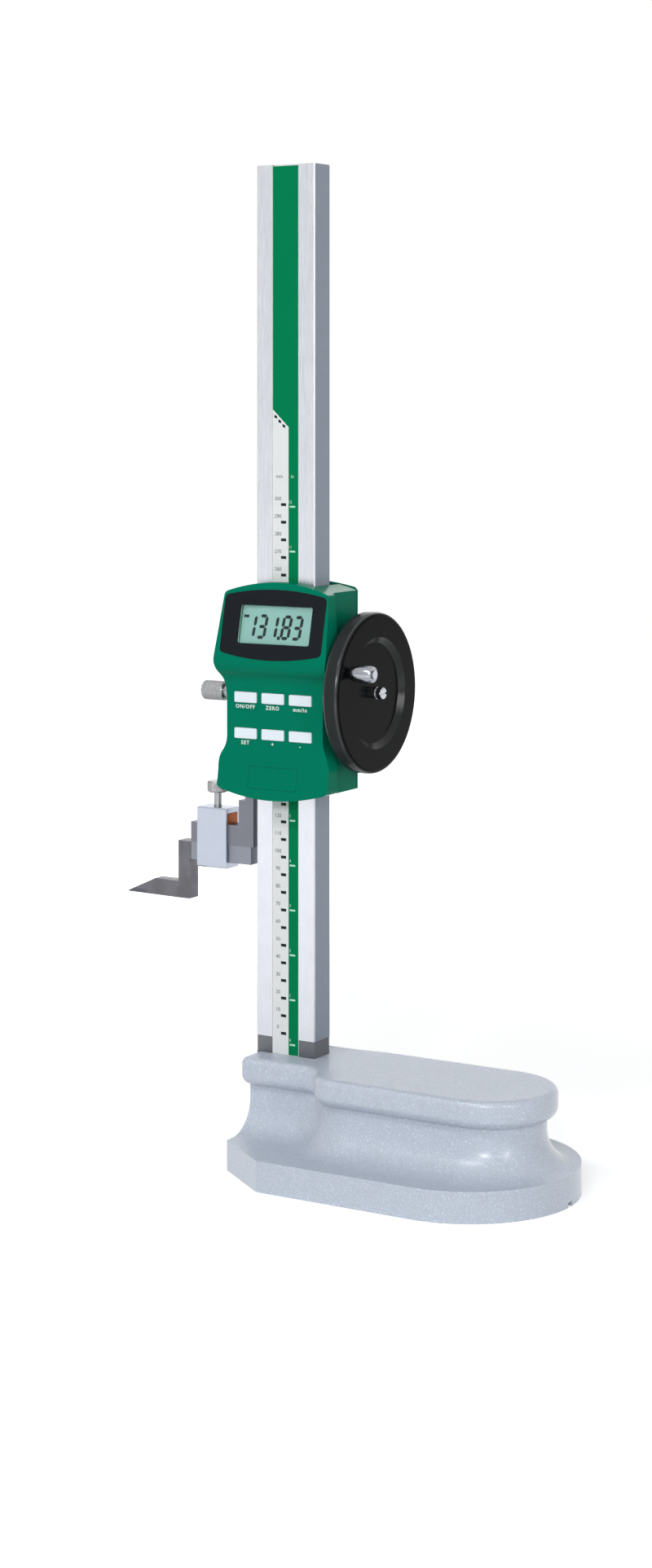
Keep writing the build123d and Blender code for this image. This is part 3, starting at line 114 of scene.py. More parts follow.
class NodeDesk:
    """Short ways to add and join nodes in one node tree."""

    def __init__(self, tree: bpy.types.NodeTree) -> None:
        """Keeps the tree that the nodes go into."""
        self.tree = tree

    def feed(self, value: Any, target: Socket) -> None:
        """Links a socket to an input, or sets the input's own value.

        Args:
            value: A socket, a number, a vector, a colour or a data block.
            target: The input.
        """
        if isinstance(value, Socket):
            self.tree.links.new(value, target)
        elif target.type == "RGBA":
            target.default_value = (*value, 1.0)
        else:
            target.default_value = value

    def add(self, kind: str, values: dict[str | int, Any] | None = None, **settings: Any) -> Node:
        """Adds a node.

        Args:
            kind: The node's type name.
            values: What feeds its inputs, by their name or index.
            **settings: Attributes of the node.

        Returns:
            The new node.
        """
        node = self.tree.nodes.new(kind)
        for name, setting in settings.items():
            setattr(node, name, setting)
        for key, value in (values or {}).items():
            self.feed(value, node.inputs[key])
        return node

    def math(
        self, operation: str, first: Level, second: Level | None = None, clamp: bool = False
    ) -> Socket:
        """Gives the result of a Math node on one value or two, clamped if asked."""
        values = {0: first} if second is None else {0: first, 1: second}
        return self.add("ShaderNodeMath", values, operation=operation, use_clamp=clamp).outputs[0]

    def times(self, first: Level, second: Level, clamp: bool = False) -> Socket:
        """Multiplies two values."""
        return self.math("MULTIPLY", first, second, clamp)

    def rest(self, value: Socket) -> Socket:
        """What is left of 1 when a value is taken off."""
        return self.math("SUBTRACT", 1.0, value)

    def vector(self, operation: str, first: Socket, second: Any = None) -> Socket:
        """Adds a Vector Math node.

        Args:
            operation: The node's operation.
            first: The vector socket.
            second: The other vector, the scale, or None.

        Returns:
            The result, a vector or a number.
        """
        values = {0: first}
        if second is not None:
            values["Scale" if operation == "SCALE" else 1] = second
        node = self.add("ShaderNodeVectorMath", values, operation=operation)
        return node.outputs["Value" if operation in ("DOT_PRODUCT", "LENGTH") else "Vector"]

    def axis(self, vector: Socket, name: str) -> Socket:
        """One coordinate of a vector."""
        return self.add("ShaderNodeSeparateXYZ", {0: vector}).outputs[name]

    def place(self, output: str = "Object") -> Socket:
        """The object's own coordinates."""
        return self.add("ShaderNodeTexCoord").outputs[output]

    def blend(self, factor: Level, dark: Tint, light: Tint) -> Socket:
        """Mixes two colours, the first at 0 and the second at 1."""
        values = {0: factor, 6: dark, 7: light}
        return self.add("ShaderNodeMix", values, data_type="RGBA").outputs[2]

    def ramp(
        self, value: Socket, low: Level, high: Level, start: float = 0.0, end: float = 1.0
    ) -> Socket:
        """Maps a value smoothly, with start as the result up to low and end from high on."""
        values = dict(enumerate((value, low, high, start, end)))
        return self.add("ShaderNodeMapRange", values, interpolation_type="SMOOTHSTEP").outputs[0]

    def around(self, value: Socket, middle: float, spread: float) -> Socket:
        """Spreads the middle of a noise evenly about a value, as for a roughness."""
        return self.ramp(value, *MIDDLE, middle - spread, middle + spread)


class Effect(NodeDesk):
    """A shader group that several finishes share, built once.

    Attributes:
        SOCKETS: Inputs with their defaults, and outputs, by the effect's name.
        EDGE: Likeness of the bevel's normal and the face's, off an edge and on it.
        PATCHES: Limits of the noise that breaks up the edges.
        WARP: Waves of the warp in the width of one hammered cell.
    """

    SOCKETS: ClassVar[dict[str, tuple[dict[str, float], tuple[str, ...]]]] = {
        "edge_wear": ({"Width": 0.0004, "Amount": 1.0, "Breakup": 400.0}, ("Mask",)),
        "sideways": ({"From": 0.6, "To": 0.9}, ("Mask",)),
        "grain": (
            {"Size": 0.0005, "Cloud": 0.02, "Stretch X": 1.0, "Stretch Y": 1.0, "Stretch Z": 1.0},
            ("Fine", "Broad"),
        ),
        "hammered": ({"Cell": 0.0016, "Joint": 0.35}, ("Height", "Joints", "Flake")),
    }
    EDGE: ClassVar[tuple[float, float]] = (0.995, 0.85)
    PATCHES: ClassVar[tuple[float, float]] = (0.35, 0.65)
    WARP: ClassVar[float] = 0.6

    def __init__(self, name: str) -> None:
        """Starts the named group with its sockets and builds its nodes.

        Args:
            name: A name in SOCKETS, which has a method too.
        """
        super().__init__(bpy.data.node_groups.new(name.replace("_", " "), "ShaderNodeTree"))
        inputs, outputs = self.SOCKETS[name]
        sockets = self.tree.interface
        for label, value in inputs.items():
            made = sockets.new_socket(label, in_out="INPUT", socket_type="NodeSocketFloat")
            made.default_value = value
        for label in outputs:
            sockets.new_socket(label, in_out="OUTPUT", socket_type="NodeSocketFloat")
        self.ins = self.add("NodeGroupInput").outputs
        self.outs = self.add("NodeGroupOutput").inputs
        getattr(self, f"_{name}")()

    @classmethod
    def tree_of(cls, name: str) -> bpy.types.NodeTree:
        """The named group, built on first use."""
        return bpy.data.node_groups.get(name.replace("_", " ")) or cls(name).tree

    def _edge_wear(self) -> None:
        """Mask of rubbed edges: bevel normal against face normal, broken up by noise."""
        bevel = self.add("ShaderNodeBevel", {"Radius": self.ins["Width"]}, samples=4)
        normal = self.add("ShaderNodeNewGeometry").outputs["Normal"]
        edge = self.ramp(self.vector("DOT_PRODUCT", bevel.outputs[0], normal), *self.EDGE)
        values = {"Vector": self.place(), "Scale": self.ins["Breakup"], "Detail": 3.0}
        rough = self.ramp(self.add("ShaderNodeTexNoise", values).outputs["Fac"], *self.PATCHES)
        mask = self.times(self.times(edge, rough), self.ins["Amount"], clamp=True)
        self.feed(mask, self.outs["Mask"])

    def _sideways(self) -> None:
        """Mask of the faces that look left or right on the object."""
        normal = self.add(
            "ShaderNodeVectorTransform",
            {0: self.add("ShaderNodeNewGeometry").outputs["Normal"]},
            vector_type="NORMAL",
            convert_from="WORLD",
            convert_to="OBJECT",
        )
        across = self.math("ABSOLUTE", self.axis(normal.outputs[0], "X"))
        self.feed(self.ramp(across, self.ins["From"], self.ins["To"]), self.outs["Mask"])

    def _grain(self) -> None:
        """Fine even grain, stretched along an axis, and broad clouds."""
        place = self.place()
        stretch = self.add("ShaderNodeCombineXYZ", {a: self.ins[f"Stretch {a}"] for a in "XYZ"})
        scaled = self.vector("MULTIPLY", place, stretch.outputs[0])
        rows = ((scaled, "Size", "Fine", 4.0), (place, "Cloud", "Broad", 2.0))
        for source, size, output, detail in rows:
            scale = self.math("DIVIDE", 1.0, self.ins[size])
            values = {"Vector": source, "Scale": scale, "Detail": detail}
            noise = self.add("ShaderNodeTexNoise", values)
            self.feed(noise.outputs["Fac"], self.outs[output])

    def _hammered(self) -> None:
        """Hammered paint: flat-topped cells with sunk joints between them."""
        place, cell = self.place(), self.ins["Cell"]
        values = {"Vector": place, "Scale": self.math("DIVIDE", self.WARP, cell), "Detail": 2.0}
        warp = self.add("ShaderNodeTexNoise", values).outputs["Color"]
        moved = self.vector("ADD", place, self.vector("SCALE", warp, cell))
        values = {"Vector": moved, "Scale": self.math("DIVIDE", 1.0, cell)}
        cells = self.add("ShaderNodeTexVoronoi", values, feature="DISTANCE_TO_EDGE")
        tones = self.add("ShaderNodeTexVoronoi", values, feature="F1")
        height = self.ramp(cells.outputs["Distance"], 0.0, self.ins["Joint"])
        self.feed(height, self.outs["Height"])
        self.feed(self.rest(height), self.outs["Joints"])
        flake = self.add("ShaderNodeSeparateColor", {0: tones.outputs["Color"]})
        self.feed(flake.outputs[0], self.outs["Flake"])


class Skin(NodeDesk):
    """The nodes of one material, round its Principled shader.

    The names of inputs that its methods take have underscores for spaces.
    """

    def __init__(self, tree: bpy.types.NodeTree, values: dict[str, Any]) -> None:
        """Empties the tree and adds the shader and the output.

        Args:
            tree: The material's node tree.
            values: Plain values of the shader's inputs.
        """
        super().__init__(tree)
        tree.nodes.clear()
        self.shader = self.add("ShaderNodeBsdfPrincipled", values)
        self.add("ShaderNodeOutputMaterial", {"Surface": self.shader.outputs[0]})
        self.normal: Socket | None = None

    def give(self, **values: Any) -> None:
        """Feeds the shader's inputs."""
        for label, value in values.items():
            self.feed(value, self.shader.inputs[label.replace("_", " ")])

    def effect(self, name: str, **values: float) -> bpy.types.NodeOutputs:
        """Places a shared effect with its values and gives its outputs."""
        inputs = {label.replace("_", " "): value for label, value in values.items()}
        return self.add("ShaderNodeGroup", inputs, node_tree=Effect.tree_of(name)).outputs

    def bump(self, height: Socket, strength: float, depth: float) -> None:
        """Adds a Bump node over those that the shader's normal already has.

        Args:
            height: The height.
            strength: Strength of the bump.
            depth: Its depth in metres.
        """
        values = {"Height": height, "Strength": strength, "Distance": depth}
        if self.normal:
            values["Normal"] = self.normal
        self.normal = self.add("ShaderNodeBump", values).outputs[0]
        self.give(Normal=self.normal)


# Finishes

@dataclass(frozen=True)
class Finish:
    """A surface finish; its material is made once and shared.

    Attributes:
        name: The material's name.
        colour: Base colour.
        roughness: Middle of the roughness.
        metallic: 0 or 1.
        gloss: Specular level of a finish that is not metal.
        METAL_GLOSS: Specular level of metal.
    """

    METAL_GLOSS: ClassVar[float] = 0.5

    name: str
    colour: Colour
    roughness: float
    metallic: float = 0.0
    gloss: float = 0.35

    def material(self) -> bpy.types.Material:
        """Finds the finish's material, or builds it on first use.

        Returns:
            The material.
        """
        found = bpy.data.materials.get(self.name)
        if found:
            return found
        made = bpy.data.materials.new(self.name)
        made.use_nodes = True
        made.diffuse_color = (*self.colour, 1.0)
        values = {
            "Base Color": self.colour,
            "Roughness": self.roughness,
            "Metallic": self.metallic,
            "Specular IOR Level": self.METAL_GLOSS if self.metallic else self.gloss,
        }
        self.dress(Skin(made.node_tree, values))
        return made

    def dress(self, skin: Skin) -> None:
        """Adds this finish's own nodes; the plain finish has a light grain."""
        self.add_grain(skin, size=0.0006, tint=0.06, bump=0.05)

    def add_grain(self, skin: Skin, size: float, tint: float, bump: float) -> None:
        """Breaks up colour, roughness and surface with a fine grain.

        Args:
            skin: The material's nodes.
            size: Size of the grain in metres.
            tint: Share by which the colour varies.
            bump: Strength of the bump.
        """
        grain = skin.effect("grain", Size=size)
        light, dark = shaded(self.colour, 1 + tint), shaded(self.colour, 1 - tint)
        skin.give(Base_Color=skin.blend(grain["Broad"], dark, light))
        skin.give(Roughness=skin.around(grain["Fine"], self.roughness, spread=0.06))
        skin.bump(grain["Fine"], bump, depth=0.00005)


@dataclass(frozen=True)
class HammeredPaint(Finish):
    """Silver hammered paint on a casting.

    Attributes:
        cell: Size of a cell.
        joint_tone: Brightness of the sunk joints.
        joint_share: How fully the joints take that tone.
        cloud_share: How far the soft patches take it.
        flake_tone: Brightness of the palest cells.
        spread: How far the roughness varies.
        coat: Clear coat on the walls and on the faces that look up.
        upright: Z of the normal of those walls and of those faces.
        coat_roughness: Roughness of that coat.
    """

    cell: float = 0.0016
    joint_tone: float = 0.80
    joint_share: float = 0.7
    cloud_share: float = 0.12
    flake_tone: float = 1.12
    spread: float = 0.08
    coat: tuple[float, float] = (0.9, 0.1)
    upright: tuple[float, float] = (0.75, 0.98)
    coat_roughness: float = 0.24

    def dress(self, skin: Skin) -> None:
        """Cells with darker sunk joints over a soft uneven casting.

        Args:
            skin: The material's nodes.
        """
        cells = skin.effect("hammered", Cell=self.cell)
        grain = skin.effect("grain", Size=0.004, Cloud=0.03)
        joint = shaded(self.colour, self.joint_tone)
        tone = skin.blend(cells["Flake"], self.colour, shaded(self.colour, self.flake_tone))
        tone = skin.blend(skin.times(cells["Joints"], self.joint_share), tone, joint)
        cloud = skin.ramp(grain["Broad"], *MIDDLE, 0.0, self.cloud_share)
        smooth, dull = self.roughness - self.spread, self.roughness + self.spread
        skin.give(Base_Color=skin.blend(cloud, tone, joint))
        skin.give(Roughness=skin.ramp(cells["Flake"], 0.0, 1.0, smooth, dull))
        skin.bump(grain["Fine"], strength=0.35, depth=0.0006)
        skin.bump(cells["Height"], strength=0.5, depth=0.0002)
        up = skin.axis(skin.place("Normal"), "Z")
        skin.give(Coat_Weight=skin.ramp(up, *self.upright, *self.coat))
        skin.give(Coat_Roughness=self.coat_roughness)


@dataclass(frozen=True)
class Zone:
    """A part of a piece, past a plane, with another colour and a rougher surface.

    Attributes:
        towards: The side of the plane that it lies on.
        limit: How far the plane lies in that direction.
        colour: Its colour.
    """

    towards: Facing
    limit: float
    colour: Colour


@dataclass(frozen=True)
class GroundSteel(Finish):
    """Ground metal with fine lines along one axis and rubbed edges.

    Attributes:
        lines: Direction of the grinding lines.
        line_size: Width of a line.
        line_draw: That width as a share of the line's length.
        line_tone: Brightness of the dark lines.
        spread: How far the roughness goes below its middle and above.
        cloud: Share by which soft patches are darker.
        cloud_share: How fully they take that tone.
        cloud_limits: Limits of the noise that makes them.
        edge_tone: Brightness of the rubbed edges.
        side_shade_colour: Darker colour of the left and right faces, partly a duller grinding and
            partly painted shade, or None.
        side_tones: Brightness of the lines on those faces.
        side_metallic: How far those faces mirror like metal.
        side_dull: How much rougher those faces are.
        zone: A part with another finish, or None.
        zone_dull: How much rougher that part is.
    """

    metallic: float = 1.0
    lines: Facing = Facing.UP
    line_size: float = 0.00025
    line_draw: float = 0.02
    line_tone: float = 0.90
    spread: tuple[float, float] = (0.05, 0.08)
    cloud: float = 0.10
    cloud_share: float = 0.6
    cloud_limits: tuple[float, float] = (0.35, 0.65)
    edge_tone: float = 1.25
    side_shade_colour: Colour | None = None
    side_tones: tuple[float, float] = (0.85, 1.15)
    side_metallic: float = 1.0
    side_dull: float = 0.25
    zone: Zone | None = None
    zone_dull: float = 0.15

    def dress(self, skin: Skin) -> None:
        """Grinding lines, soft patches, and a duller, darker tone on the two side faces, partly
        painted shade.

        Args:
            skin: The material's nodes.
        """
        along = "XYZ"[max(range(3), key=lambda i: abs(self.lines.value[i]))]
        draw = {f"Stretch_{along}": self.line_draw}
        grain = skin.effect("grain", Size=self.line_size, Cloud=0.012, **draw)
        line = skin.ramp(grain["Fine"], *MIDDLE)
        tone = skin.blend(line, shaded(self.colour, self.line_tone), self.colour)
        patch = skin.times(skin.ramp(grain["Broad"], *self.cloud_limits), self.cloud_share)
        tone = skin.blend(patch, tone, shaded(self.colour, 1 - self.cloud))
        smooth, dull = self.roughness - self.spread[0], self.roughness + self.spread[1]
        rough = skin.ramp(grain["Fine"], *MIDDLE, smooth, dull)
        # Painted shade, in part: the side faces take a darker colour.
        if self.side_shade_colour:
            side = skin.effect("sideways")["Mask"]
            streak = skin.ramp(grain["Fine"], *MIDDLE, *self.side_tones)
            tone = skin.blend(side, tone, skin.blend(streak, BLACK, self.side_shade_colour))
            rough = skin.math("ADD", rough, skin.times(side, self.side_dull))
            skin.give(Metallic=skin.rest(skin.times(side, 1.0 - self.side_metallic)))
        worn = skin.effect("edge_wear", Width=0.0003, Amount=0.6)["Mask"]
        tone = skin.blend(worn, tone, shaded(self.colour, self.edge_tone))
        if self.zone:
            reach = skin.vector("DOT_PRODUCT", skin.place(), self.zone.towards.value)
            inside = skin.math("GREATER_THAN", reach, self.zone.limit)
            tone = skin.blend(inside, tone, self.zone.colour)
            rough = skin.math("ADD", rough, skin.times(inside, self.zone_dull))
        skin.give(Base_Color=tone, Roughness=rough)
        skin.bump(grain["Fine"], strength=0.12, depth=0.00002)


@dataclass(frozen=True)
class MouldedPlastic(Finish):
    """Moulded plastic with a spark-eroded texture and softened edges.

    Attributes:
        texture: Size of the texture.
        tones: Brightness of its dark and its pale clouds.
        spread: How far the roughness varies.
        rim_sheen_colour: Paler colour, a painted reflection, of what does not look left or right,
            or None.
        edge_gloss: Coat on the roundings between the sides and the rest.
        edge_roughness: Roughness of that coat.
        edge_tone: Factor and lift of the colour of handled edges.
    """

    texture: float = 0.0004
    tones: tuple[float, float] = (0.94, 1.05)
    spread: float = 0.05
    rim_sheen_colour: Colour | None = None
    edge_gloss: float = 0.0
    edge_roughness: float = 0.2
    edge_tone: tuple[float, float] = (1.3, 0.02)

    def dress(self, skin: Skin) -> None:
        """Even fine texture, slight cloudiness, paler along handled edges.

        Args:
            skin: The material's nodes.
        """
        grain = skin.effect("grain", Size=self.texture, Cloud=0.03)
        dark, light = (shaded(self.colour, factor) for factor in self.tones)
        tone = skin.blend(grain["Broad"], dark, light)
        side = skin.effect("sideways", From=0.1, To=0.9)["Mask"]
        # Painted reflection: what does not look left or right takes the paler rim colour.
        if self.rim_sheen_colour:
            tone = skin.blend(side, self.rim_sheen_colour, tone)
        if self.edge_gloss:
            quarter = skin.times(side, skin.rest(side))
            skin.give(Coat_Weight=skin.times(quarter, 4 * self.edge_gloss, clamp=True))
            skin.give(Coat_Roughness=self.edge_roughness)
        worn = skin.effect("edge_wear", Width=0.0005, Amount=0.35)["Mask"]
        skin.give(Base_Color=skin.blend(worn, tone, shaded(self.colour, *self.edge_tone)))
        skin.give(Roughness=skin.around(grain["Fine"], self.roughness, self.spread))
        skin.bump(grain["Fine"], strength=0.10, depth=0.00003)


@dataclass(frozen=True)
class ClearPane(Finish):
    """Clear acrylic pane.

    Attributes:
        bending: Index of refraction.
        smear: Lowest and highest roughness.
    """

    bending: float = 1.25
    smear: tuple[float, float] = (0.02, 0.08)

    def dress(self, skin: Skin) -> None:
        """Plain transmission with a little smear in its gloss.

        Args:
            skin: The material's nodes.
        """
        skin.give(Transmission_Weight=1.0, IOR=self.bending)
        grain = skin.effect("grain", Size=0.004, Cloud=0.01)
        skin.give(Roughness=skin.ramp(grain["Broad"], *MIDDLE, *self.smear))


@dataclass(frozen=True)
class Printed(Finish):
    """Flat printing ink on film."""

    gloss: float = 0.04

    def dress(self, skin: Skin) -> None:
        """Slight mottle in the ink."""
        self.add_grain(skin, size=0.0003, tint=0.03, bump=0.03)


class Finishes:
    """Every finish of the gauge."""

    PAINT = HammeredPaint("hammered silver paint", srgb(194, 203, 217), 0.36)
    # The column's darker sides are partly painted shade.
    COLUMN = GroundSteel(
        "ground column steel", srgb(211, 213, 220), 0.30,
        side_shade_colour=srgb(140, 148, 160), side_metallic=0.35,
        # Darker and rougher below this height, at the foot of the column.
        zone=Zone(Facing.DOWN, -0.0683, srgb(112, 115, 119)),
    )
    FRAME = GroundSteel("machined frame steel", srgb(120, 122, 131), 0.38)
    TOOL = GroundSteel("dark tool steel", srgb(104, 105, 110), 0.36, cloud=0.3)
    SCRIBER = GroundSteel(
        "dark scriber steel", srgb(108, 108, 113), 0.36, cloud=0.35,
        zone=Zone(Facing.RIGHT, -0.0665, srgb(136, 140, 150)),
    )
    CARBIDE = GroundSteel("ground carbide", srgb(88, 89, 96), 0.25, lines=Facing.RIGHT)
    SATIN = GroundSteel("satin plated steel", srgb(182, 188, 201), 0.34)
    KNURL = GroundSteel("knurled steel", srgb(156, 157, 159), 0.30)
    BRIGHT = GroundSteel("bright plated steel", srgb(190, 192, 198), 0.16, lines=Facing.RIGHT)
    HANDLE = GroundSteel("turned handle steel", srgb(160, 163, 169), 0.2, lines=Facing.RIGHT)
    SCREWS = Finish("blackened screw steel", srgb(70, 71, 75), 0.42, 1.0)
    BRASS = GroundSteel("machined brass", srgb(200, 140, 82), 0.32, lines=Facing.RIGHT)
    COPPER = GroundSteel("copper pad", srgb(150, 84, 46), 0.42, lines=Facing.RIGHT)
    GREEN = MouldedPlastic(
        "green moulding", srgb(0, 118, 91), 0.34, gloss=0.03, edge_gloss=1.0
    )
    # Painted shade: the back moulding is a darker copy of the front moulding's green.
    GREEN_BACK_SHADED = MouldedPlastic("green back moulding, painted shade", srgb(0, 106, 82), 0.38, gloss=0.0)
    # The paler colour of the wheel's rim is a painted reflection of light on it.
    GLOSS_BLACK = MouldedPlastic(
        "gloss black moulding", srgb(13, 14, 15), 0.16, gloss=0.03, texture=0.002,
        rim_sheen_colour=srgb(46, 49, 50), edge_gloss=1.0,
    )
    SURROUND = MouldedPlastic(
        "display surround", srgb(31, 35, 39), 0.14, gloss=0.03, texture=0.003
    )
    KEYS = MouldedPlastic("pale key plastic", srgb(226, 237, 244), 0.42)
    RUBBER = Finish("grey silicone rubber", srgb(150, 150, 146), 0.75)
    HOLDER = Finish("black holder plastic", srgb(34, 34, 36), 0.55)
    BOARD = Finish("green circuit board", srgb(22, 92, 58), 0.45)
    CELL = Finish("nickel cell can", srgb(205, 205, 208), 0.25, 1.0)
    LCD = Printed("liquid crystal ground", srgb(145, 189, 182), 0.35, gloss=0.03)
    LCD_INK = Printed("liquid crystal segments", srgb(28, 36, 40), 0.4, gloss=0.05)
    PANE = ClearPane("clear display pane", srgb(245, 248, 247), 0.05)
    STRIP_WHITE = Printed("white scale film", srgb(223, 226, 226), 0.42, gloss=0.1)
    STRIP_GREEN = Printed("green scale ink", srgb(0, 121, 76), 0.42)
    INK_BLACK = Printed("black scale ink", srgb(28, 42, 38), 0.45)
    INK_GREY = Printed("grey scale ink", srgb(84, 92, 89), 0.45)
    INK_PALE = Printed("white scale ink", srgb(178, 226, 204), 0.45, gloss=0.1)
    LABEL = Printed("pale key legend ink", srgb(214, 234, 226), 0.5, gloss=0.1)


# Mesh helpers

def in_scene(name: str, data: bpy.types.ID) -> bpy.types.Object:
    """Makes an object of some data and links it into the scene.

    Args:
        name: Its name.
        data: A mesh, a curve, a lamp or a camera.

    Returns:
        The object.
    """
    made = bpy.data.objects.new(name, data)
    bpy.context.scene.collection.objects.link(made)
    return made


def evaluated(holder: bpy.types.Object) -> Mesh:
    """Makes a plain mesh of an object as its modifiers leave it."""
    graph = bpy.context.evaluated_depsgraph_get()
    return bpy.data.meshes.new_from_object(holder.evaluated_get(graph))


def finished(name: str, mesh: Mesh, finish: Finish, body: Body) -> bpy.types.Object:
    """Makes a finished mesh into a piece that rides on a body.

    Args:
        name: The piece's name.
        mesh: Its mesh, in place.
        finish: Its finish.
        body: The body it rides on.

    Returns:
        The piece.
    """
    if not mesh.materials:
        mesh.materials.append(finish.material())
    piece = in_scene(name, mesh)
    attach(piece, body.value)
    log.info("%s: %d faces on %s", name, len(mesh.polygons), body.value)
    return piece


def rectangle(width: float, height: float, x: float = 0.0, y: float = 0.0) -> Outline:
    """Corners of a rectangle about its middle, counter-clockwise."""
    right, top = width / 2, height / 2
    return [(x - right, y - top), (x + right, y - top), (x + right, y + top), (x - right, y + top)]


def prism(outline: Outline, low: float, high: float) -> Shape:
    """Closed prism over an outline in its own XY plane.

    Args:
        outline: The outline, counter-clockwise.
        low: Height of the underside.
        high: Height of the top.

    Returns:
        A bmesh.
    """
    shape = bmesh.new()
    base, top = ([shape.verts.new((x, y, z)) for x, y in outline] for z in (low, high))
    shape.faces.new(base[::-1])
    shape.faces.new(top)
    for i in range(len(base)):
        j = (i + 1) % len(base)
        shape.faces.new((base[i], base[j], top[j], top[i]))
    bmesh.ops.recalc_face_normals(shape, faces=shape.faces)
    return shape


def lathe(profile: Outline, steps: int) -> Shape:
    """Turns a profile of radius and height about Z; points on the axis become poles.

    Args:
        profile: Radius and height, from one end to the other.
        steps: Divisions round the axis.

    Returns:
        A closed bmesh.
    """
    shape = bmesh.new()
    rings: list[list[bmesh.types.BMVert]] = []
    for radius, z in profile:
        angles = [2 * math.pi * i / steps for i in range(steps)] if radius else [0.0]
        around = [(radius * math.cos(a), radius * math.sin(a), z) for a in angles]
        rings.append([shape.verts.new(spot) for spot in around])
    for lower, upper in zip(rings, rings[1:]):
        for i in range(steps):
            j = (i + 1) % steps
            corners = [lower[i % len(lower)], lower[j % len(lower)]]
            corners += [upper[j % len(upper)], upper[i % len(upper)]]
            unique = list(dict.fromkeys(corners))
            if len(unique) > 2:
                shape.faces.new(unique)
    bmesh.ops.recalc_face_normals(shape, faces=shape.faces)
    return shape


def to_mesh(name: str, shape: Shape, place: Matrix | None = None, smooth: float = 0.0) -> Mesh:
    """Turns a bmesh into a mesh in place.

    Args:
        name: The mesh's name.
        shape: The bmesh, which is freed.
        place: Where it goes, or None.
        smooth: Largest angle in degrees that is shaded smooth, or 0 for flat faces.

    Returns:
        The mesh.
    """
    if place is not None:
        shape.transform(place)
    mesh = bpy.data.meshes.new(name)
    shape.to_mesh(mesh)
    shape.free()
    if smooth:
        mesh.shade_smooth()
        mesh.set_sharp_from_angle(angle=math.radians(smooth))
    return mesh


def joined(name: str, parts: Iterable[Mesh], smooth: float = 0.0) -> Mesh:
    """Joins meshes that share one finish into one mesh.

    Args:
        name: The mesh's name.
        parts: The meshes, which are removed.
        smooth: Largest angle in degrees that is shaded smooth, or 0 for flat faces.

    Returns:
        The mesh.
    """
    shape = bmesh.new()
    for part in parts:
        shape.from_mesh(part)
        bpy.data.meshes.remove(part)
    return to_mesh(name, shape, smooth=smooth)


def axes_at(origin: Vector, out: Vector) -> Matrix:
    """A place whose local Z points out and whose local Y is nearest to up.

    Args:
        origin: The place's origin.
        out: Direction of its local Z.

    Returns:
        The matrix from local to the model's frame.
    """
    z = out.normalized()
    x = Facing.UP.vector.cross(z).normalized()
    turn = Matrix((x, z.cross(x), z)).transposed().to_4x4()
    return Matrix.Translation(origin) @ turn


def face_place(node: str, facing: Facing, tilt: float = 0.7) -> Matrix:
    """The place of a node's largest flat face near a direction.

    Args:
        node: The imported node.
        facing: The direction that the face looks in.
        tilt: Least cosine between the face's normal and that direction.

    Returns:
        A place at the middle of that face's box, with local Z pointing out of it.
    """
    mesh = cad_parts[node].data
    mesh.calc_loop_triangles()
    near = [polygon for polygon in mesh.polygons if polygon.normal.dot(facing.vector) > tilt]
    areas: dict[tuple[float, ...], float] = {}
    for polygon in near:
        distance = polygon.normal.dot(polygon.center)
        key = (*(round(part, 3) for part in polygon.normal), round(distance, 5))
        areas[key] = areas.get(key, 0.0) + polygon.area
    best = max(areas, key=areas.get)
    normal = Vector(best[:3]).normalized()
    chosen = [
        p for p in near
        if (p.normal - normal).length < SAME_NORMAL
        and abs(p.normal.dot(p.center) - best[3]) < SAME_PLANE
    ]
    corners = [mesh.vertices[i].co for p in chosen for i in p.vertices]
    place = axes_at(corners[0].copy(), chosen[0].normal.copy())
    spans = list(zip(*(place.inverted() @ corner for corner in corners)))
    middle = Vector(((min(spans[0]) + max(spans[0])) / 2, (min(spans[1]) + max(spans[1])) / 2, 0.0))
    return Matrix.Translation(place @ middle - place.translation) @ place


def lettering(
    text: str, size: float, thickness: float, place: Matrix, weight: float = 0.0, space: float = 1.0
) -> Mesh:
    """Flat raised lettering, centred on a place.

    Args:
        text: What it says.
        size: Height of the type in metres.
        thickness: How far it stands up.
        place: Its middle, with local Z out of the surface.
        weight: How far its strokes are thickened on each side.
        space: Spacing of its letters.

    Returns:
        The mesh.
    """
    curve = bpy.data.curves.new(text, "FONT")
    curve.body, curve.size, curve.extrude = text, size, thickness / 2
    curve.offset, curve.space_character = weight, space
    curve.align_x = curve.align_y = "CENTER"
    curve.resolution_u = 3
    holder = in_scene(text, curve)
    mesh = evaluated(holder)
    bpy.data.objects.remove(holder)
    bpy.data.curves.remove(curve)
    mesh.transform(place @ Matrix.Translation((0.0, 0.0, thickness / 2)))
    return mesh


# Geometry Nodes

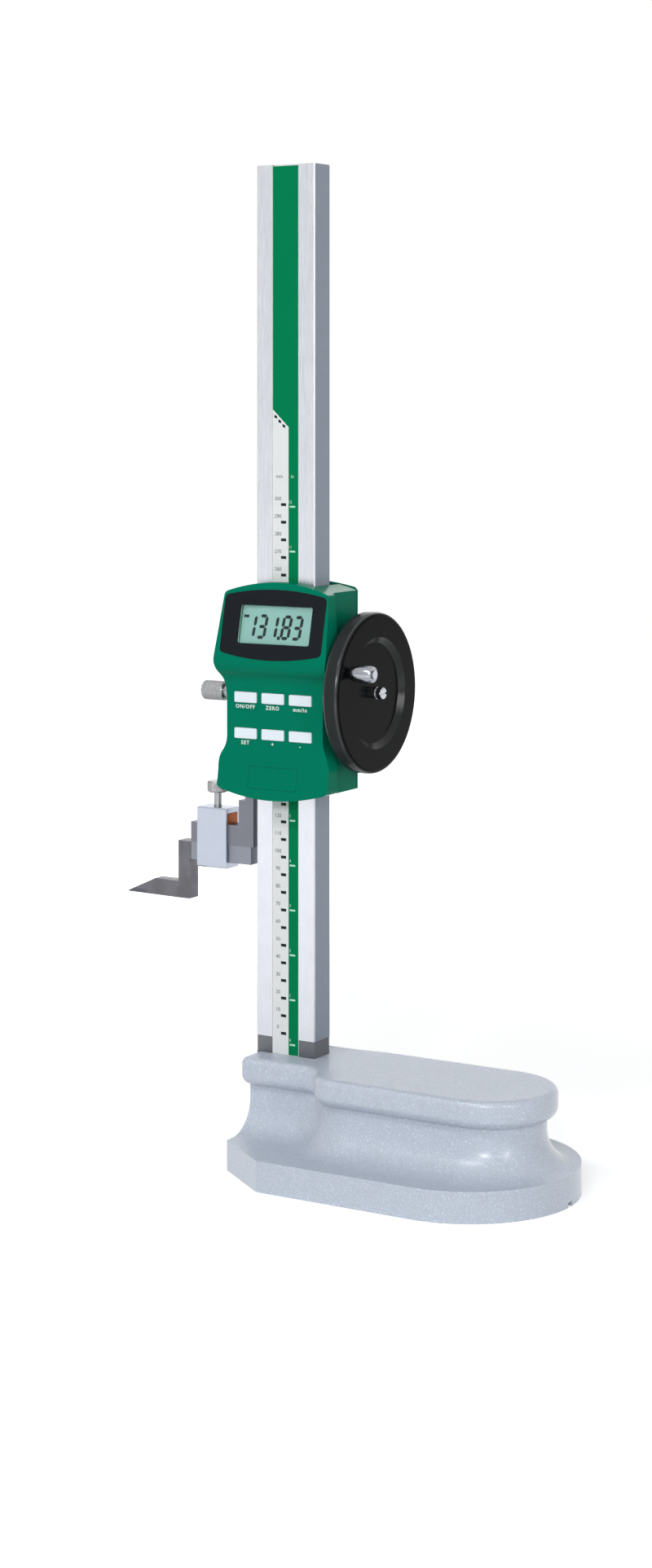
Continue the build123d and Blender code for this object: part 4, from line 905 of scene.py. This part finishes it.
class Repeater(NodeDesk):
    """A Geometry Nodes tree with named inputs, run once on a mesh and made plain."""

    SOCKETS: ClassVar[dict[type, str]] = {
        int: "NodeSocketInt", float: "NodeSocketFloat", tuple: "NodeSocketVector"
    }

    def __init__(self, name: str) -> None:
        """Starts an empty tree with a geometry input and output.

        Args:
            name: The tree's name.
        """
        super().__init__(bpy.data.node_groups.new(name, "GeometryNodeTree"))
        self.values: dict[str, Any] = {}
        sockets = self.tree.interface
        for way in ("INPUT", "OUTPUT"):
            sockets.new_socket("Geometry", in_out=way, socket_type="NodeSocketGeometry")
        self.ins = self.add("NodeGroupInput")
        self.outs = self.add("NodeGroupOutput")

    @property
    def source(self) -> Socket:
        """The mesh that goes in."""
        return self.ins.outputs["Geometry"]

    def size(self, label: str, value: float | int | tuple[float, ...]) -> Socket:
        """Adds a named input.

        Args:
            label: Its name.
            value: Its value, a number, a whole number or a vector.

        Returns:
            The socket inside the tree.
        """
        kind = self.SOCKETS[type(value)]
        made = self.tree.interface.new_socket(label, in_out="INPUT", socket_type=kind)
        self.values[made.identifier] = value
        return self.ins.outputs[label]

    def place_on(self, points: Socket, unit: Socket) -> Socket:
        """Puts a copy of the unit on each point."""
        values = {"Points": points, "Instance": unit}
        return self.add("GeometryNodeInstanceOnPoints", values).outputs[0]

    def run(self, name: str, source: Mesh, result: Socket, finish: Finish) -> Mesh:
        """Ends the tree in Realize Instances and Set Material and runs it on a mesh.

        Args:
            name: The result's name.
            source: The mesh that goes in.
            result: The geometry that the tree's own nodes give.
            finish: Its finish.

        Returns:
            The plain result.
        """
        real = self.add("GeometryNodeRealizeInstances", {0: result}).outputs[0]
        values = {"Geometry": real, "Material": finish.material()}
        painted = self.add("GeometryNodeSetMaterial", values)
        self.feed(painted.outputs[0], self.outs.inputs[0])
        holder = in_scene(name, source)
        modifier = holder.modifiers.new("repeat", "NODES")
        modifier.node_group = self.tree
        for identifier, value in self.values.items():
            modifier[identifier] = value
        mesh = evaluated(holder)
        holder.modifiers.remove(modifier)
        bpy.data.objects.remove(holder)
        mesh.name = name
        return mesh


def repeat_along(
    name: str, unit: Mesh, start: Vector, step: Vector, count: int, finish: Finish
) -> Mesh:
    """Repeats a small mesh along a straight row.

    Args:
        name: The result's name.
        unit: The mesh at the origin.
        start: Place of the first one.
        step: Offset from one to the next.
        count: How many.
        finish: Their finish.

    Returns:
        The plain mesh.
    """
    tree = Repeater(name)
    values = {
        "Count": tree.size("Count", count),
        "Start Location": tree.size("Start", tuple(start)),
        "Offset": tree.size("Step", tuple(step)),
    }
    line = tree.add("GeometryNodeMeshLine", values, mode="OFFSET").outputs[0]
    return tree.run(name, unit, tree.place_on(line, tree.source), finish)


def repeat_at(name: str, unit: Mesh, points: Sequence[Vector], finish: Finish) -> Mesh:
    """Repeats a small mesh on a set of points.

    Args:
        name: The result's name.
        unit: The mesh at the origin.
        points: Where each one goes.
        finish: Their finish.

    Returns:
        The plain mesh.
    """
    cloud = bpy.data.meshes.new(f"{name}_points")
    cloud.from_pydata([tuple(point) for point in points], [], [])
    carrier = bpy.data.objects.new(f"{name}_unit", unit)
    tree = Repeater(name)
    info = tree.add("GeometryNodeObjectInfo", {"Object": carrier}).outputs["Geometry"]
    made = tree.run(name, cloud, tree.place_on(tree.source, info), finish)
    bpy.data.objects.remove(carrier)
    return made


@dataclass(frozen=True)
class KnurledBarrel:
    """Diamond knurl on a barrel about Z, round its middle, with plain chamfered ends.

    Attributes:
        name: Name of its mesh.
        radius: Radius over the crests.
        length: Length of the barrel.
        ridges: Ridges round it.
        depth: Depth of the knurl.
        steps: Divisions of each ridge.
        chamfer: Chamfer of the ends, as a share of the radius.
        fade: Where the knurl starts and ends to fade, as shares of the length.
        upright: Largest Z of the normal of a face that is knurled.
        smooth: Largest angle in degrees that is shaded smooth.
    """

    name: str
    radius: float
    length: float
    ridges: int
    depth: float = 0.00035
    steps: int = 4
    chamfer: float = 0.12
    fade: tuple[float, float] = (0.44, 0.47)
    upright: float = 0.6
    smooth: float = 30.0

    def _blank(self) -> Mesh:
        """Makes the plain barrel, in faces that are small enough for the knurl.

        Returns:
            The mesh.
        """
        around = self.ridges * self.steps
        along = max(8, int(self.length / (2 * math.pi * self.radius / around)))
        radius, half, cut = self.radius, self.length / 2, self.radius * self.chamfer
        rows = [(-half + cut) + (self.length - 2 * cut) * i / along for i in range(along + 1)]
        profile = [(0.0, -half), (radius - 2 * cut, -half), (radius - cut, -half)]
        profile += [(radius, z) for z in rows]
        profile += [(radius - cut, half), (radius - 2 * cut, half), (0.0, half)]
        return to_mesh(f"{self.name}_blank", lathe(profile, around), smooth=self.smooth)

    def mesh(self, finish: Finish) -> Mesh:
        """Cuts the knurl.

        Args:
            finish: The barrel's finish.

        Returns:
            The plain mesh.
        """
        tree = Repeater(self.name)
        radius, length = tree.size("Radius", self.radius), tree.size("Length", self.length)
        ridges, depth = tree.size("Ridges", float(self.ridges)), tree.size("Depth", self.depth)
        spot = tree.add("GeometryNodeInputPosition").outputs[0]
        x, y, z = (tree.axis(spot, name) for name in "XYZ")
        turned = tree.times(tree.math("ARCTAN2", y, x), ridges)
        climbed = tree.times(z, tree.math("DIVIDE", ridges, radius))
        waves = []
        for operation in ("ADD", "SUBTRACT"):
            phase = tree.times(tree.math(operation, turned, climbed), 0.5)
            waves.append(tree.math("ABSOLUTE", tree.math("SINE", phase)))
        reach = tree.math("DIVIDE", tree.math("ABSOLUTE", z), length)
        sink = tree.times(depth, tree.rest(tree.math("MINIMUM", *waves)))
        sink = tree.times(sink, tree.rest(tree.ramp(reach, *self.fade)))
        share = tree.rest(tree.math("DIVIDE", sink, radius))
        scale = tree.add("ShaderNodeCombineXYZ", {"X": share, "Y": share, "Z": 1.0})
        tilt = tree.axis(tree.add("GeometryNodeInputNormal").outputs[0], "Z")
        values = {
            "Geometry": tree.source,
            "Selection": tree.math("LESS_THAN", tree.math("ABSOLUTE", tilt), self.upright),
            "Position": tree.vector("MULTIPLY", spot, scale.outputs[0]),
        }
        cut = tree.add("GeometryNodeSetPosition", values).outputs[0]
        return tree.run(self.name, self._blank(), cut, finish)


# Assemblies

@dataclass(frozen=True)
class Lamp:
    """A soft rectangular lamp.

    Attributes:
        name: Its name.
        place: Where it stands.
        size: Its width and height.
        power: Its power in watts.
    """

    name: str
    place: tuple[float, float, float]
    size: tuple[float, float]
    power: float

    def build(self, target: Vector) -> None:
        """Makes the lamp.

        Args:
            target: Where it points.
        """
        lamp = bpy.data.lights.new(self.name, "AREA")
        lamp.shape = "RECTANGLE"
        lamp.size, lamp.size_y = self.size
        lamp.energy = self.power
        holder = in_scene(self.name, lamp)
        holder.location = self.place
        aim = (target - Vector(self.place)).to_track_quat("-Z", "Y")
        holder.rotation_euler = aim.to_euler()


@dataclass
class Stage:
    """Floor, background, lamps and camera.

    Attributes:
        eye: Place of the camera.
        turn: Its turn about Z in degrees.
        lens: Focal length in millimetres.
        shift: Lens shift to the side and up.
        sensor: Width of the camera's sensor in millimetres.
        floor_size: Side of the square floor.
        floor_depth: Thickness of the floor.
        floor_colour: Colour of the floor.
        floor_roughness: Its roughness.
        floor_glow: Its own light near the object and far from it, where it is seen.
        floor_fade: Distances between which that light grows.
        sky: Colour of the background's light.
        sky_level: Strength of that light.
        target: Where the lamps point.
        lamps: The lamps.
    """

    eye: tuple[float, float, float] = (0.8115, -1.3305, 0.4340)
    turn: float = 31.1
    lens: float = 62.8
    shift: tuple[float, float] = (0.0123, -0.249)
    sensor: float = 36.0
    floor_size: float = 6.0
    floor_depth: float = 0.01
    floor_colour: Colour = srgb(250, 250, 250)
    floor_roughness: float = 0.9
    floor_glow: tuple[float, float] = (0.42, 0.9)
    floor_fade: tuple[float, float] = (0.35, 0.9)
    sky: Colour = (0.97, 0.98, 1.0)
    sky_level: float = 0.36
    target: tuple[float, float, float] = (0.03, 0.0, 0.25)
    lamps: tuple[Lamp, ...] = (
        Lamp("key", (-0.2, -1.5, 1.7), (1.2, 0.4), 12.0),
        Lamp("front", (0.8, -2.0, 1.0), (0.6, 0.3), 14.0),
        Lamp("fill", (1.8, -0.9, 0.8), (0.25, 0.9), 6.0),
        Lamp("top", (-0.6, 0.3, 1.9), (0.6, 0.6), 0.6),
        Lamp("back", (-0.6, 1.7, 0.9), (1.2, 1.2), 3.0),
    )

    def build(self) -> None:
        """Makes everything that is not part of the object."""
        self._floor()
        self._world()
        for lamp in self.lamps:
            lamp.build(Vector(self.target))
        self._camera()

    def _seen(self, desk: NodeDesk) -> Socket:
        """Tells what is seen from what only lights.

        Args:
            desk: The node desk.

        Returns:
            1 for camera, mirror and glass rays and 0 for the rest.
        """
        path = desk.add("ShaderNodeLightPath").outputs
        rays = desk.math("ADD", path["Is Camera Ray"], path["Is Glossy Ray"])
        return desk.math("ADD", rays, path["Is Transmission Ray"], clamp=True)

    def _floor(self) -> None:
        """A pale floor that keeps the object's shadow."""
        outline = rectangle(self.floor_size, self.floor_size)
        mesh = to_mesh("floor", prism(outline, -self.floor_depth, 0.0))
        material = bpy.data.materials.new("pale floor")
        material.use_nodes = True
        values = {
            "Base Color": self.floor_colour,
            "Roughness": self.floor_roughness,
            "Specular IOR Level": 0.0,
            "Emission Color": WHITE,
        }
        skin = Skin(material.node_tree, values)
        level = skin.ramp(skin.vector("LENGTH", skin.place()), *self.floor_fade, *self.floor_glow)
        skin.give(Emission_Strength=skin.times(self._seen(skin), level))
        mesh.materials.append(material)
        in_scene("floor", mesh)

    def _world(self) -> None:
        """Soft even light, plain white for camera, mirror and glass rays."""
        world = bpy.data.worlds.new("studio")
        world.use_nodes = True
        world.node_tree.nodes.clear()
        desk = NodeDesk(world.node_tree)
        light, white = (
            desk.add("ShaderNodeBackground", {"Color": colour, "Strength": level}).outputs[0]
            for colour, level in ((self.sky, self.sky_level), (WHITE, 1.0))
        )
        mix = desk.add("ShaderNodeMixShader", {0: self._seen(desk), 1: light, 2: white})
        desk.add("ShaderNodeOutputWorld", {"Surface": mix.outputs[0]})
        bpy.context.scene.world = world
        bpy.context.scene.view_settings.view_transform = "Standard"

    def _camera(self) -> None:
        """The camera, level and turned to the left."""
        camera = bpy.data.cameras.new("camera")
        camera.lens = self.lens
        camera.sensor_width = self.sensor
        camera.sensor_fit = "AUTO"
        camera.shift_x, camera.shift_y = self.shift
        holder = in_scene("camera", camera)
        holder.location = self.eye
        holder.rotation_euler = (math.radians(90), 0.0, math.radians(self.turn))
        bpy.context.scene.camera = holder


@dataclass
class PackedNodes:
    """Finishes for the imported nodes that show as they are.

    Attributes:
        finishes: The nodes of each finish; the keys share theirs.
    """

    finishes: tuple[tuple[Finish, str], ...] = (
        (Finishes.PAINT, "base_casting"),
        (Finishes.COLUMN, "column"),
        (Finishes.SCREWS, "column_screws rack_screws gib_screws"),
        (Finishes.BOARD, "scale_circuit main_board sensor_board"),
        (Finishes.STRIP_WHITE, "scale_strip"),
        (Finishes.FRAME, "rack slider_frame pinion"),
        (Finishes.BRASS, "gib_strip shaft_bushes"),
        (Finishes.GREEN, "front_cover battery_cover"),
        (Finishes.GREEN_BACK_SHADED, "rear_cover"),
        (Finishes.SURROUND, "display_bezel"),
        (Finishes.PANE, "display_window"),
        (Finishes.LCD, "lcd_module"),
        (Finishes.HOLDER, "lcd_holder battery_holder"),
        (Finishes.RUBBER, "keypad_mat"),
        (Finishes.CELL, "button_cell"),
        (Finishes.SATIN, "clamp_box"),
        (Finishes.COPPER, "clamp_pad"),
        (Finishes.SCRIBER, "scriber"),
        (Finishes.CARBIDE, "carbide_tip"),
        (Finishes.TOOL, "wheel_shaft"),
        (Finishes.GLOSS_BLACK, "hand_wheel"),
        (Finishes.BRIGHT, "hub_screw spinner_pin"),
        (Finishes.HANDLE, "spinner_handle"),
    )

    def dress(self) -> None:
        """Puts each finish on its nodes."""
        chosen = {name: finish for finish, names in self.finishes for name in names.split()}
        for name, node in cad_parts.items():
            finish = Finishes.KEYS if name.startswith("key_") else chosen.get(name)
            if finish is None:
                continue
            for slot in node.material_slots:
                slot.material = finish.material()
            log.info("%s: %s", name, finish.name)


@dataclass(frozen=True)
class Row:
    """One row of marks and numbers up the scale.

    Attributes:
        first: Height of the first mark.
        step: Height from one mark to the next.
        count: How many marks it has.
        size: Width and height of a mark.
        mark_x: Middle of the marks.
        number_x: Middle of the numbers.
        rise: Height of a number over its mark.
        type_size: Height of the numbers.
        worth: What one step counts for.
        sign: The unit's sign.
        sign_x: Middle of that sign.
        lift: How far the print stands before the strip.
    """

    first: float
    step: float
    count: int
    size: tuple[float, float]
    mark_x: float
    number_x: float
    rise: float
    type_size: float
    worth: int
    sign: str
    sign_x: float
    lift: float


@dataclass
class ScalePrint:
    """Printing on the scale strip: green ground, dashes, marks and numbers.

    Attributes:
        ground_left: Left edge of the green ground beside the scale.
        slant: Heights of the slanted change at the left and the right.
        film: Thickness of the print.
        edge: Bare edge of the strip.
        dash: Outline of a dash along the slanted change.
        dash_shares: Where the dashes lie along it.
        dash_shift: How far they lie off it, to the side and up.
        sign_size: Height of the unit signs.
        sign_height: Where they stand.
        metric: Marks at whole centimetres, numbered in millimetres.
        inches: Marks and numbers of the inches.
    """

    ground_left: float = 0.0020
    slant: tuple[float, float] = (0.4250, 0.4150)
    film: float = 0.00003
    edge: float = 0.0002
    dash: Outline = ((-0.0009, -0.0004), (0.0009, -0.0012), (0.0009, 0.0004), (-0.0009, 0.0012))
    dash_shares: tuple[float, ...] = (0.16, 0.42, 0.68)
    dash_shift: tuple[float, float] = (0.0002, -0.0026)
    sign_size: float = 0.0030
    sign_height: float = 0.387
    metric: Row = Row(
        first=0.071, step=0.010, count=31, size=(0.0034, 0.0016), mark_x=-0.0013,
        number_x=-0.0050, rise=0.0033, type_size=0.0030, worth=10, sign="mm", sign_x=-0.0040,
        lift=0.0,
    )
    inches: Row = Row(
        first=0.0651, step=0.0254, count=13, size=(0.0036, 0.0010), mark_x=0.0046,
        number_x=0.0030, rise=0.002475, type_size=0.0024, worth=1, sign="in", sign_x=0.0046,
        lift=0.00003,
    )

    def __post_init__(self) -> None:
        """Reads the strip's own face from the frame."""
        self.low, self.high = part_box("scale_strip")

    def _place(self, x: float, z: float, lift: float = 0.0) -> Matrix:
        """A place on the strip's face or before it, with local Z out of it."""
        return axes_at(Vector((x, self.low.y - lift, z)), Facing.FRONT.vector)

    def _ground(self) -> None:
        """Green ground: full width at the top, a band beside the scale below."""
        left, right = self.low.x + self.edge, self.high.x - self.edge
        top, bottom = self.high.z - self.edge, self.low.z + self.edge
        high, low = self.slant
        outline = [(self.ground_left, bottom), (right, bottom), (right, top), (left, top)]
        outline += [(left, high), (self.ground_left, low)]
        mesh = to_mesh("scale_green_ground", prism(outline, 0.0, self.film), self._place(0.0, 0.0))
        piece = finished("scale_green_ground", mesh, Finishes.STRIP_GREEN, Body.BASE)

    def _slant_dashes(self) -> None:
        """Dark diagonal dashes that run along the slanted change."""
        high, low = self.slant
        left = self.low.x + self.edge
        dashes = []
        for share in self.dash_shares:
            x = left + (self.ground_left - left) * share + self.dash_shift[0]
            z = high + (low - high) * share + self.dash_shift[1]
            dashes.append(to_mesh("dash", prism(self.dash, 0.0, self.film), self._place(x, z)))
        mesh = joined("scale_slant_dashes", dashes)
        piece = finished("scale_slant_dashes", mesh, Finishes.INK_BLACK, Body.BASE)

    def _marks(self, name: str, row: Row, finish: Finish) -> Mesh:
        """The marks of one row.

        Args:
            name: The mesh's name.
            row: The row.
            finish: Their finish.

        Returns:
            The mesh.
        """
        bar = prism(rectangle(*row.size), 0.0, self.film * 2)
        unit = to_mesh("mark", bar, axes_at(Vector(), Facing.FRONT.vector))
        start = Vector((row.mark_x, self.low.y - row.lift, row.first))
        return repeat_along(name, unit, start, Facing.UP.vector * row.step, row.count, finish)

    def _numbers(self, name: str, row: Row) -> Mesh:
        """The numbers of one row, and its unit's sign above the scale.

        Args:
            name: The mesh's name.
            row: The row.

        Returns:
            The mesh.
        """
        meshes = []
        for index in range(row.count):
            place = self._place(row.number_x, row.first + index * row.step + row.rise, row.lift)
            meshes.append(lettering(str(index * row.worth), row.type_size, self.film, place))
        place = self._place(row.sign_x, self.sign_height, row.lift)
        meshes.append(lettering(row.sign, self.sign_size, self.film, place))
        return joined(name, meshes)

    def build(self) -> None:
        """Prints the whole strip: dark marks for centimetres and pale ones for inches."""
        self._ground()
        self._slant_dashes()
        mesh = self._marks("scale_marks", self.metric, Finishes.INK_BLACK)
        finished("scale_marks", mesh, Finishes.INK_BLACK, Body.BASE)
        mesh = self._marks("scale_inch_marks", self.inches, Finishes.INK_PALE)
        finished("scale_inch_marks", mesh, Finishes.INK_PALE, Body.BASE)
        mesh = self._numbers("scale_numbers", self.metric)
        finished("scale_numbers", mesh, Finishes.INK_GREY, Body.BASE)
        mesh = self._numbers("scale_inch_numbers", self.inches)
        finished("scale_inch_numbers", mesh, Finishes.INK_PALE, Body.BASE)


@dataclass
class Display:
    """Digits and a sign on the liquid crystal cell.

    Attributes:
        reading: What the digits say.
        digit: Width and height of a digit.
        pitch: Step from one digit to the next.
        point_pitch: Room for the decimal point.
        stroke: Width of a segment.
        gap: Gap at each end of a segment.
        lean: Slope of the digits.
        ink: Thickness of the segments.
        sign: Width and height of the sign.
        sign_at: Middle of the sign on the cell.
        centre: Middle of the digits on the cell.
        segments: The lit segments of each figure that the reading has.
        ends: The corners that each segment runs between, as sides of the digit.
    """

    reading: str = "131.83"
    digit: tuple[float, float] = (0.0046, 0.0122)
    pitch: float = 0.0072
    point_pitch: float = 0.0016
    stroke: float = 0.0019
    gap: float = 0.00018
    lean: float = 0.09
    ink: float = 0.00002
    sign: tuple[float, float] = (0.0034, 0.0016)
    sign_at: tuple[float, float] = (-0.0206, 0.0048)
    centre: tuple[float, float] = (-0.0016, -0.0008)
    segments: dict[str, str] = field(
        default_factory=lambda: {"1": "bc", "3": "abgcd", "8": "abcdefg"}
    )
    ends: dict[str, tuple[tuple[int, int], tuple[int, int]]] = field(
        default_factory=lambda: {
            "a": ((-1, 1), (1, 1)), "b": ((1, 1), (1, 0)), "c": ((1, 0), (1, -1)),
            "d": ((-1, -1), (1, -1)), "e": ((-1, 0), (-1, -1)), "f": ((-1, 1), (-1, 0)),
            "g": ((-1, 0), (1, 0)),
        }
    )

    def _segment(self, start: Vector, end: Vector) -> Outline:
        """Draws one six-sided segment.

        Args:
            start: The corner of the digit where it starts.
            end: The corner where it ends.

        Returns:
            The leaning outline.
        """
        run = (end - start).normalized()
        side = Vector((-run.y, run.x)) * self.stroke / 2
        tip = run * self.stroke / 2
        a, b = start + run * self.gap, end - run * self.gap
        outline = [a, a + tip - side, b - tip - side, b, b - tip + side, a + tip + side]
        return [(p.x + self.lean * p.y, p.y) for p in outline]

    def _outlines(self) -> list[Outline]:
        """Draws every lit segment and the point, about the middle of the reading.

        Returns:
            The outlines.
        """
        width, height = self.digit
        steps = [self.point_pitch if figure == "." else self.pitch for figure in self.reading]
        x = (self.pitch - sum(steps)) / 2
        outlines = []
        for figure, step in zip(self.reading, steps):
            if figure == ".":
                spot = x + (self.point_pitch - self.pitch) / 2
                outlines.append(rectangle(self.stroke, self.stroke, spot, -height / 2))
            else:
                for name in self.segments[figure]:
                    ends = [(x + u * width / 2, v * height / 2) for u, v in self.ends[name]]
                    outlines.append(self._segment(*map(Vector, ends)))
            x += step
        return outlines

    def build(self) -> None:
        """Makes the reading and the small sign at its upper left."""
        cell = face_place("lcd_module", Facing.FRONT)
        places = [(outline, self.centre) for outline in self._outlines()]
        places.append((rectangle(*self.sign), self.sign_at))
        meshes = [
            to_mesh("segment", prism(outline, 0.0, self.ink), cell @ Matrix.Translation((*at, 0.0)))
            for outline, at in places
        ]
        mesh = joined("display_segments", meshes)
        finished("display_segments", mesh, Finishes.LCD_INK, Body.SLIDER)


@dataclass
class KeyLegends:
    """Small plain legends printed under the keys.

    Attributes:
        words: The legend of each key.
        size: Height of the type.
        drop: How far its middle lies below the key.
        ink: Thickness of the print.
        weight: How far the strokes are thickened.
        space: Spacing of the letters.
    """

    words: dict[str, str] = field(
        default_factory=lambda: {
            "key_upper_left": "ON/OFF", "key_upper_middle": "ZERO", "key_upper_right": "mm/in",
            "key_lower_left": "SET", "key_lower_middle": "+", "key_lower_right": "-",
        }
    )
    size: float = 0.0030
    drop: float = 0.0015
    ink: float = 0.00003
    weight: float = 0.00010
    space: float = 1.25

    def build(self) -> None:
        """Prints each legend on the face of the front moulding."""
        face = face_place("front_cover", Facing.FRONT).translation.y
        meshes = []
        for node, word in self.words.items():
            low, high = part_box(node)
            spot = Vector(((low.x + high.x) / 2, face, low.z - self.drop))
            place = axes_at(spot, Facing.FRONT.vector)
            meshes.append(lettering(word, self.size, self.ink, place, self.weight, self.space))
        mesh = joined("key_legends", meshes)
        finished("key_legends", mesh, Finishes.LABEL, Body.SLIDER)


@dataclass
class KnurledScrews:
    """The lock screw and the clamp's thumbscrew, with knurled heads.

    Attributes:
        lock_knob: Length of the lock screw's knob.
        lock_ridges: Ridges round it.
        lock_stem: Radius of the lock screw's stem.
        collar: Radius and length of the collar behind its knob.
        collar_bevel: Bevel of the collar.
        collar_sink: How far the collar goes into the knob.
        clamp_knob: Length of the thumbscrew's knob.
        clamp_ridges: Ridges round it.
        clamp_stem: Radius of the thumbscrew's stem at its foot and above.
        foot_bevel: Height of the bevel at its foot.
        steps: Divisions round both stems.
        smooth: Largest angle in degrees that is shaded smooth.
    """

    lock_knob: float = 0.0145
    lock_ridges: int = 26
    lock_stem: float = 0.003
    collar: tuple[float, float] = (0.004, 0.003)
    collar_bevel: float = 0.0004
    collar_sink: float = 0.0002
    clamp_knob: float = 0.0064
    clamp_ridges: int = 28
    clamp_stem: tuple[float, float] = (0.0020, 0.00225)
    foot_bevel: float = 0.0003
    steps: int = 40
    smooth: float = 35.0

    def _screw(self, name: str, knob: KnurledBarrel, stem: Outline, place: Matrix) -> Mesh:
        """One screw in place.

        Args:
            name: The mesh's name.
            knob: Its knurled knob.
            stem: Profile of its stem, about the middle of the knob.
            place: Where that middle goes, with local Z out of the knob.

        Returns:
            The mesh.
        """
        head = knob.mesh(Finishes.KNURL)
        head.transform(place)
        turned = to_mesh("stem", lathe(stem, self.steps), place)
        return joined(name, [head, turned], self.smooth)

    def _lock_screw(self) -> None:
        """Knob, collar and stem along X, out of the left side."""
        low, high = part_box("lock_screw")
        half = self.lock_knob / 2
        end, radius = half - (high.x - low.x), self.lock_stem
        wide, long = self.collar
        stem = [(0.0, end), (radius, end), (radius, -half - long)]
        stem += [(wide, self.collar_bevel - half - long), (wide, -half)]
        stem.append((0.0, self.collar_sink - half))
        middle = Vector((low.x + half, (low.y + high.y) / 2, (low.z + high.z) / 2))
        place = axes_at(middle, Facing.LEFT.vector)
        size = ((high.z - low.z) / 2, self.lock_knob, self.lock_ridges)
        mesh = self._screw("lock_screw_knurled", KnurledBarrel("lock_knurl", *size), stem, place)
        piece = finished("lock_screw_knurled", mesh, Finishes.KNURL, Body.LOCK_SCREW)
        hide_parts("lock_screw")

    def _clamp_screw(self) -> None:
        """Knob and stem along Z, on top of the clamp."""
        low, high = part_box("clamp_screw")
        half = self.clamp_knob / 2
        middle = Vector(((low.x + high.x) / 2, (low.y + high.y) / 2, high.z - half))
        foot = low.z - middle.z
        narrow, wide = self.clamp_stem
        stem = [(0.0, foot), (narrow, foot), (wide, foot + self.foot_bevel)]
        stem += [(wide, -half), (0.0, -half)]
        place = Matrix.Translation(middle)
        size = ((high.x - low.x) / 2, self.clamp_knob, self.clamp_ridges)
        mesh = self._screw("clamp_screw_knurled", KnurledBarrel("clamp_knurl", *size), stem, place)
        piece = finished("clamp_screw_knurled", mesh, Finishes.KNURL, Body.CLAMP_SCREW)
        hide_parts("clamp_screw")

    def build(self) -> None:
        """Makes both screws."""
        self._lock_screw()
        self._clamp_screw()


@dataclass
class CoverScrews:
    """Cross-recessed screws in the back.

    Attributes:
        radius: Radius of a head.
        head: Height of a head.
        rim: Height of its straight rim, as a share of the head.
        dome: Height of the dome over it, as a share of the head.
        angles: Where the rings of the dome lie.
        recess: Length, width and depth of the recess.
        margin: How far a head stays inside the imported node's box.
        steps: Divisions round a head.
        smooth: Largest angle in degrees that is shaded smooth.
    """

    radius: float = 0.0022
    head: float = 0.0011
    rim: float = 0.45
    dome: float = 0.5
    angles: tuple[float, ...] = (0.35, 0.7, 1.05, 1.35)
    recess: tuple[float, float, float] = (0.0024, 0.0006, 0.0008)
    margin: float = 0.0001
    steps: int = 36
    smooth: float = 30.0

    def _screw(self) -> Mesh:
        """Makes one pan head with a cross recess, about Z, its seat at the origin.

        Returns:
            The mesh.
        """
        rim, dome = self.head * self.rim, self.head * self.dome
        profile = [(0.0, 0.0), (self.radius, 0.0), (self.radius, rim)]
        profile += [(self.radius * math.cos(a), rim + dome * math.sin(a)) for a in self.angles]
        profile.append((0.0, self.head))
        head = to_mesh("head", lathe(profile, self.steps), smooth=self.smooth)
        items = [in_scene("head", head)]
        length, width, depth = self.recess
        for size in ((length, width), (width, length)):
            cutter = prism(rectangle(*size), self.head - depth, self.head + depth)
            items.append(in_scene("cutter", to_mesh("cutter", cutter)))
            cut = items[0].modifiers.new("recess", "BOOLEAN")
            cut.object = items[-1]
            cut.solver = "EXACT"
        mesh = evaluated(items[0])
        for item in items:
            bpy.data.objects.remove(item)
        return mesh

    def build(self) -> None:
        """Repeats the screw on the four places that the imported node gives."""
        low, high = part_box("cover_screws")
        inset = self.radius + self.margin
        seat = high.y - self.head
        columns, rows = (low.x + inset, high.x - inset), (low.z + inset, high.z - inset)
        spots = [Vector((x, seat, z)) for x in columns for z in rows]
        unit = self._screw()
        unit.transform(axes_at(Vector(), Facing.BACK.vector))
        mesh = repeat_at("cover_screw_heads", unit, spots, Finishes.SCREWS)
        piece = finished("cover_screw_heads", mesh, Finishes.SCREWS, Body.SLIDER)
        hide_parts("cover_screws")


def main() -> None:
    """Builds the stage and every assembly, in order."""
    logging.basicConfig(level=logging.INFO, format="%(name)s %(message)s")
    steps: Sequence[tuple[str, Callable[[], None]]] = (
        ("stage", Stage().build),
        ("packed nodes", PackedNodes().dress),
        ("scale print", ScalePrint().build),
        ("display", Display().build),
        ("key legends", KeyLegends().build),
        ("knurled screws", KnurledScrews().build),
        ("cover screws", CoverScrews().build),
    )
    for name, build in steps:
        log.info("building %s", name)
        build()


if __name__ == "__main__":
    main()
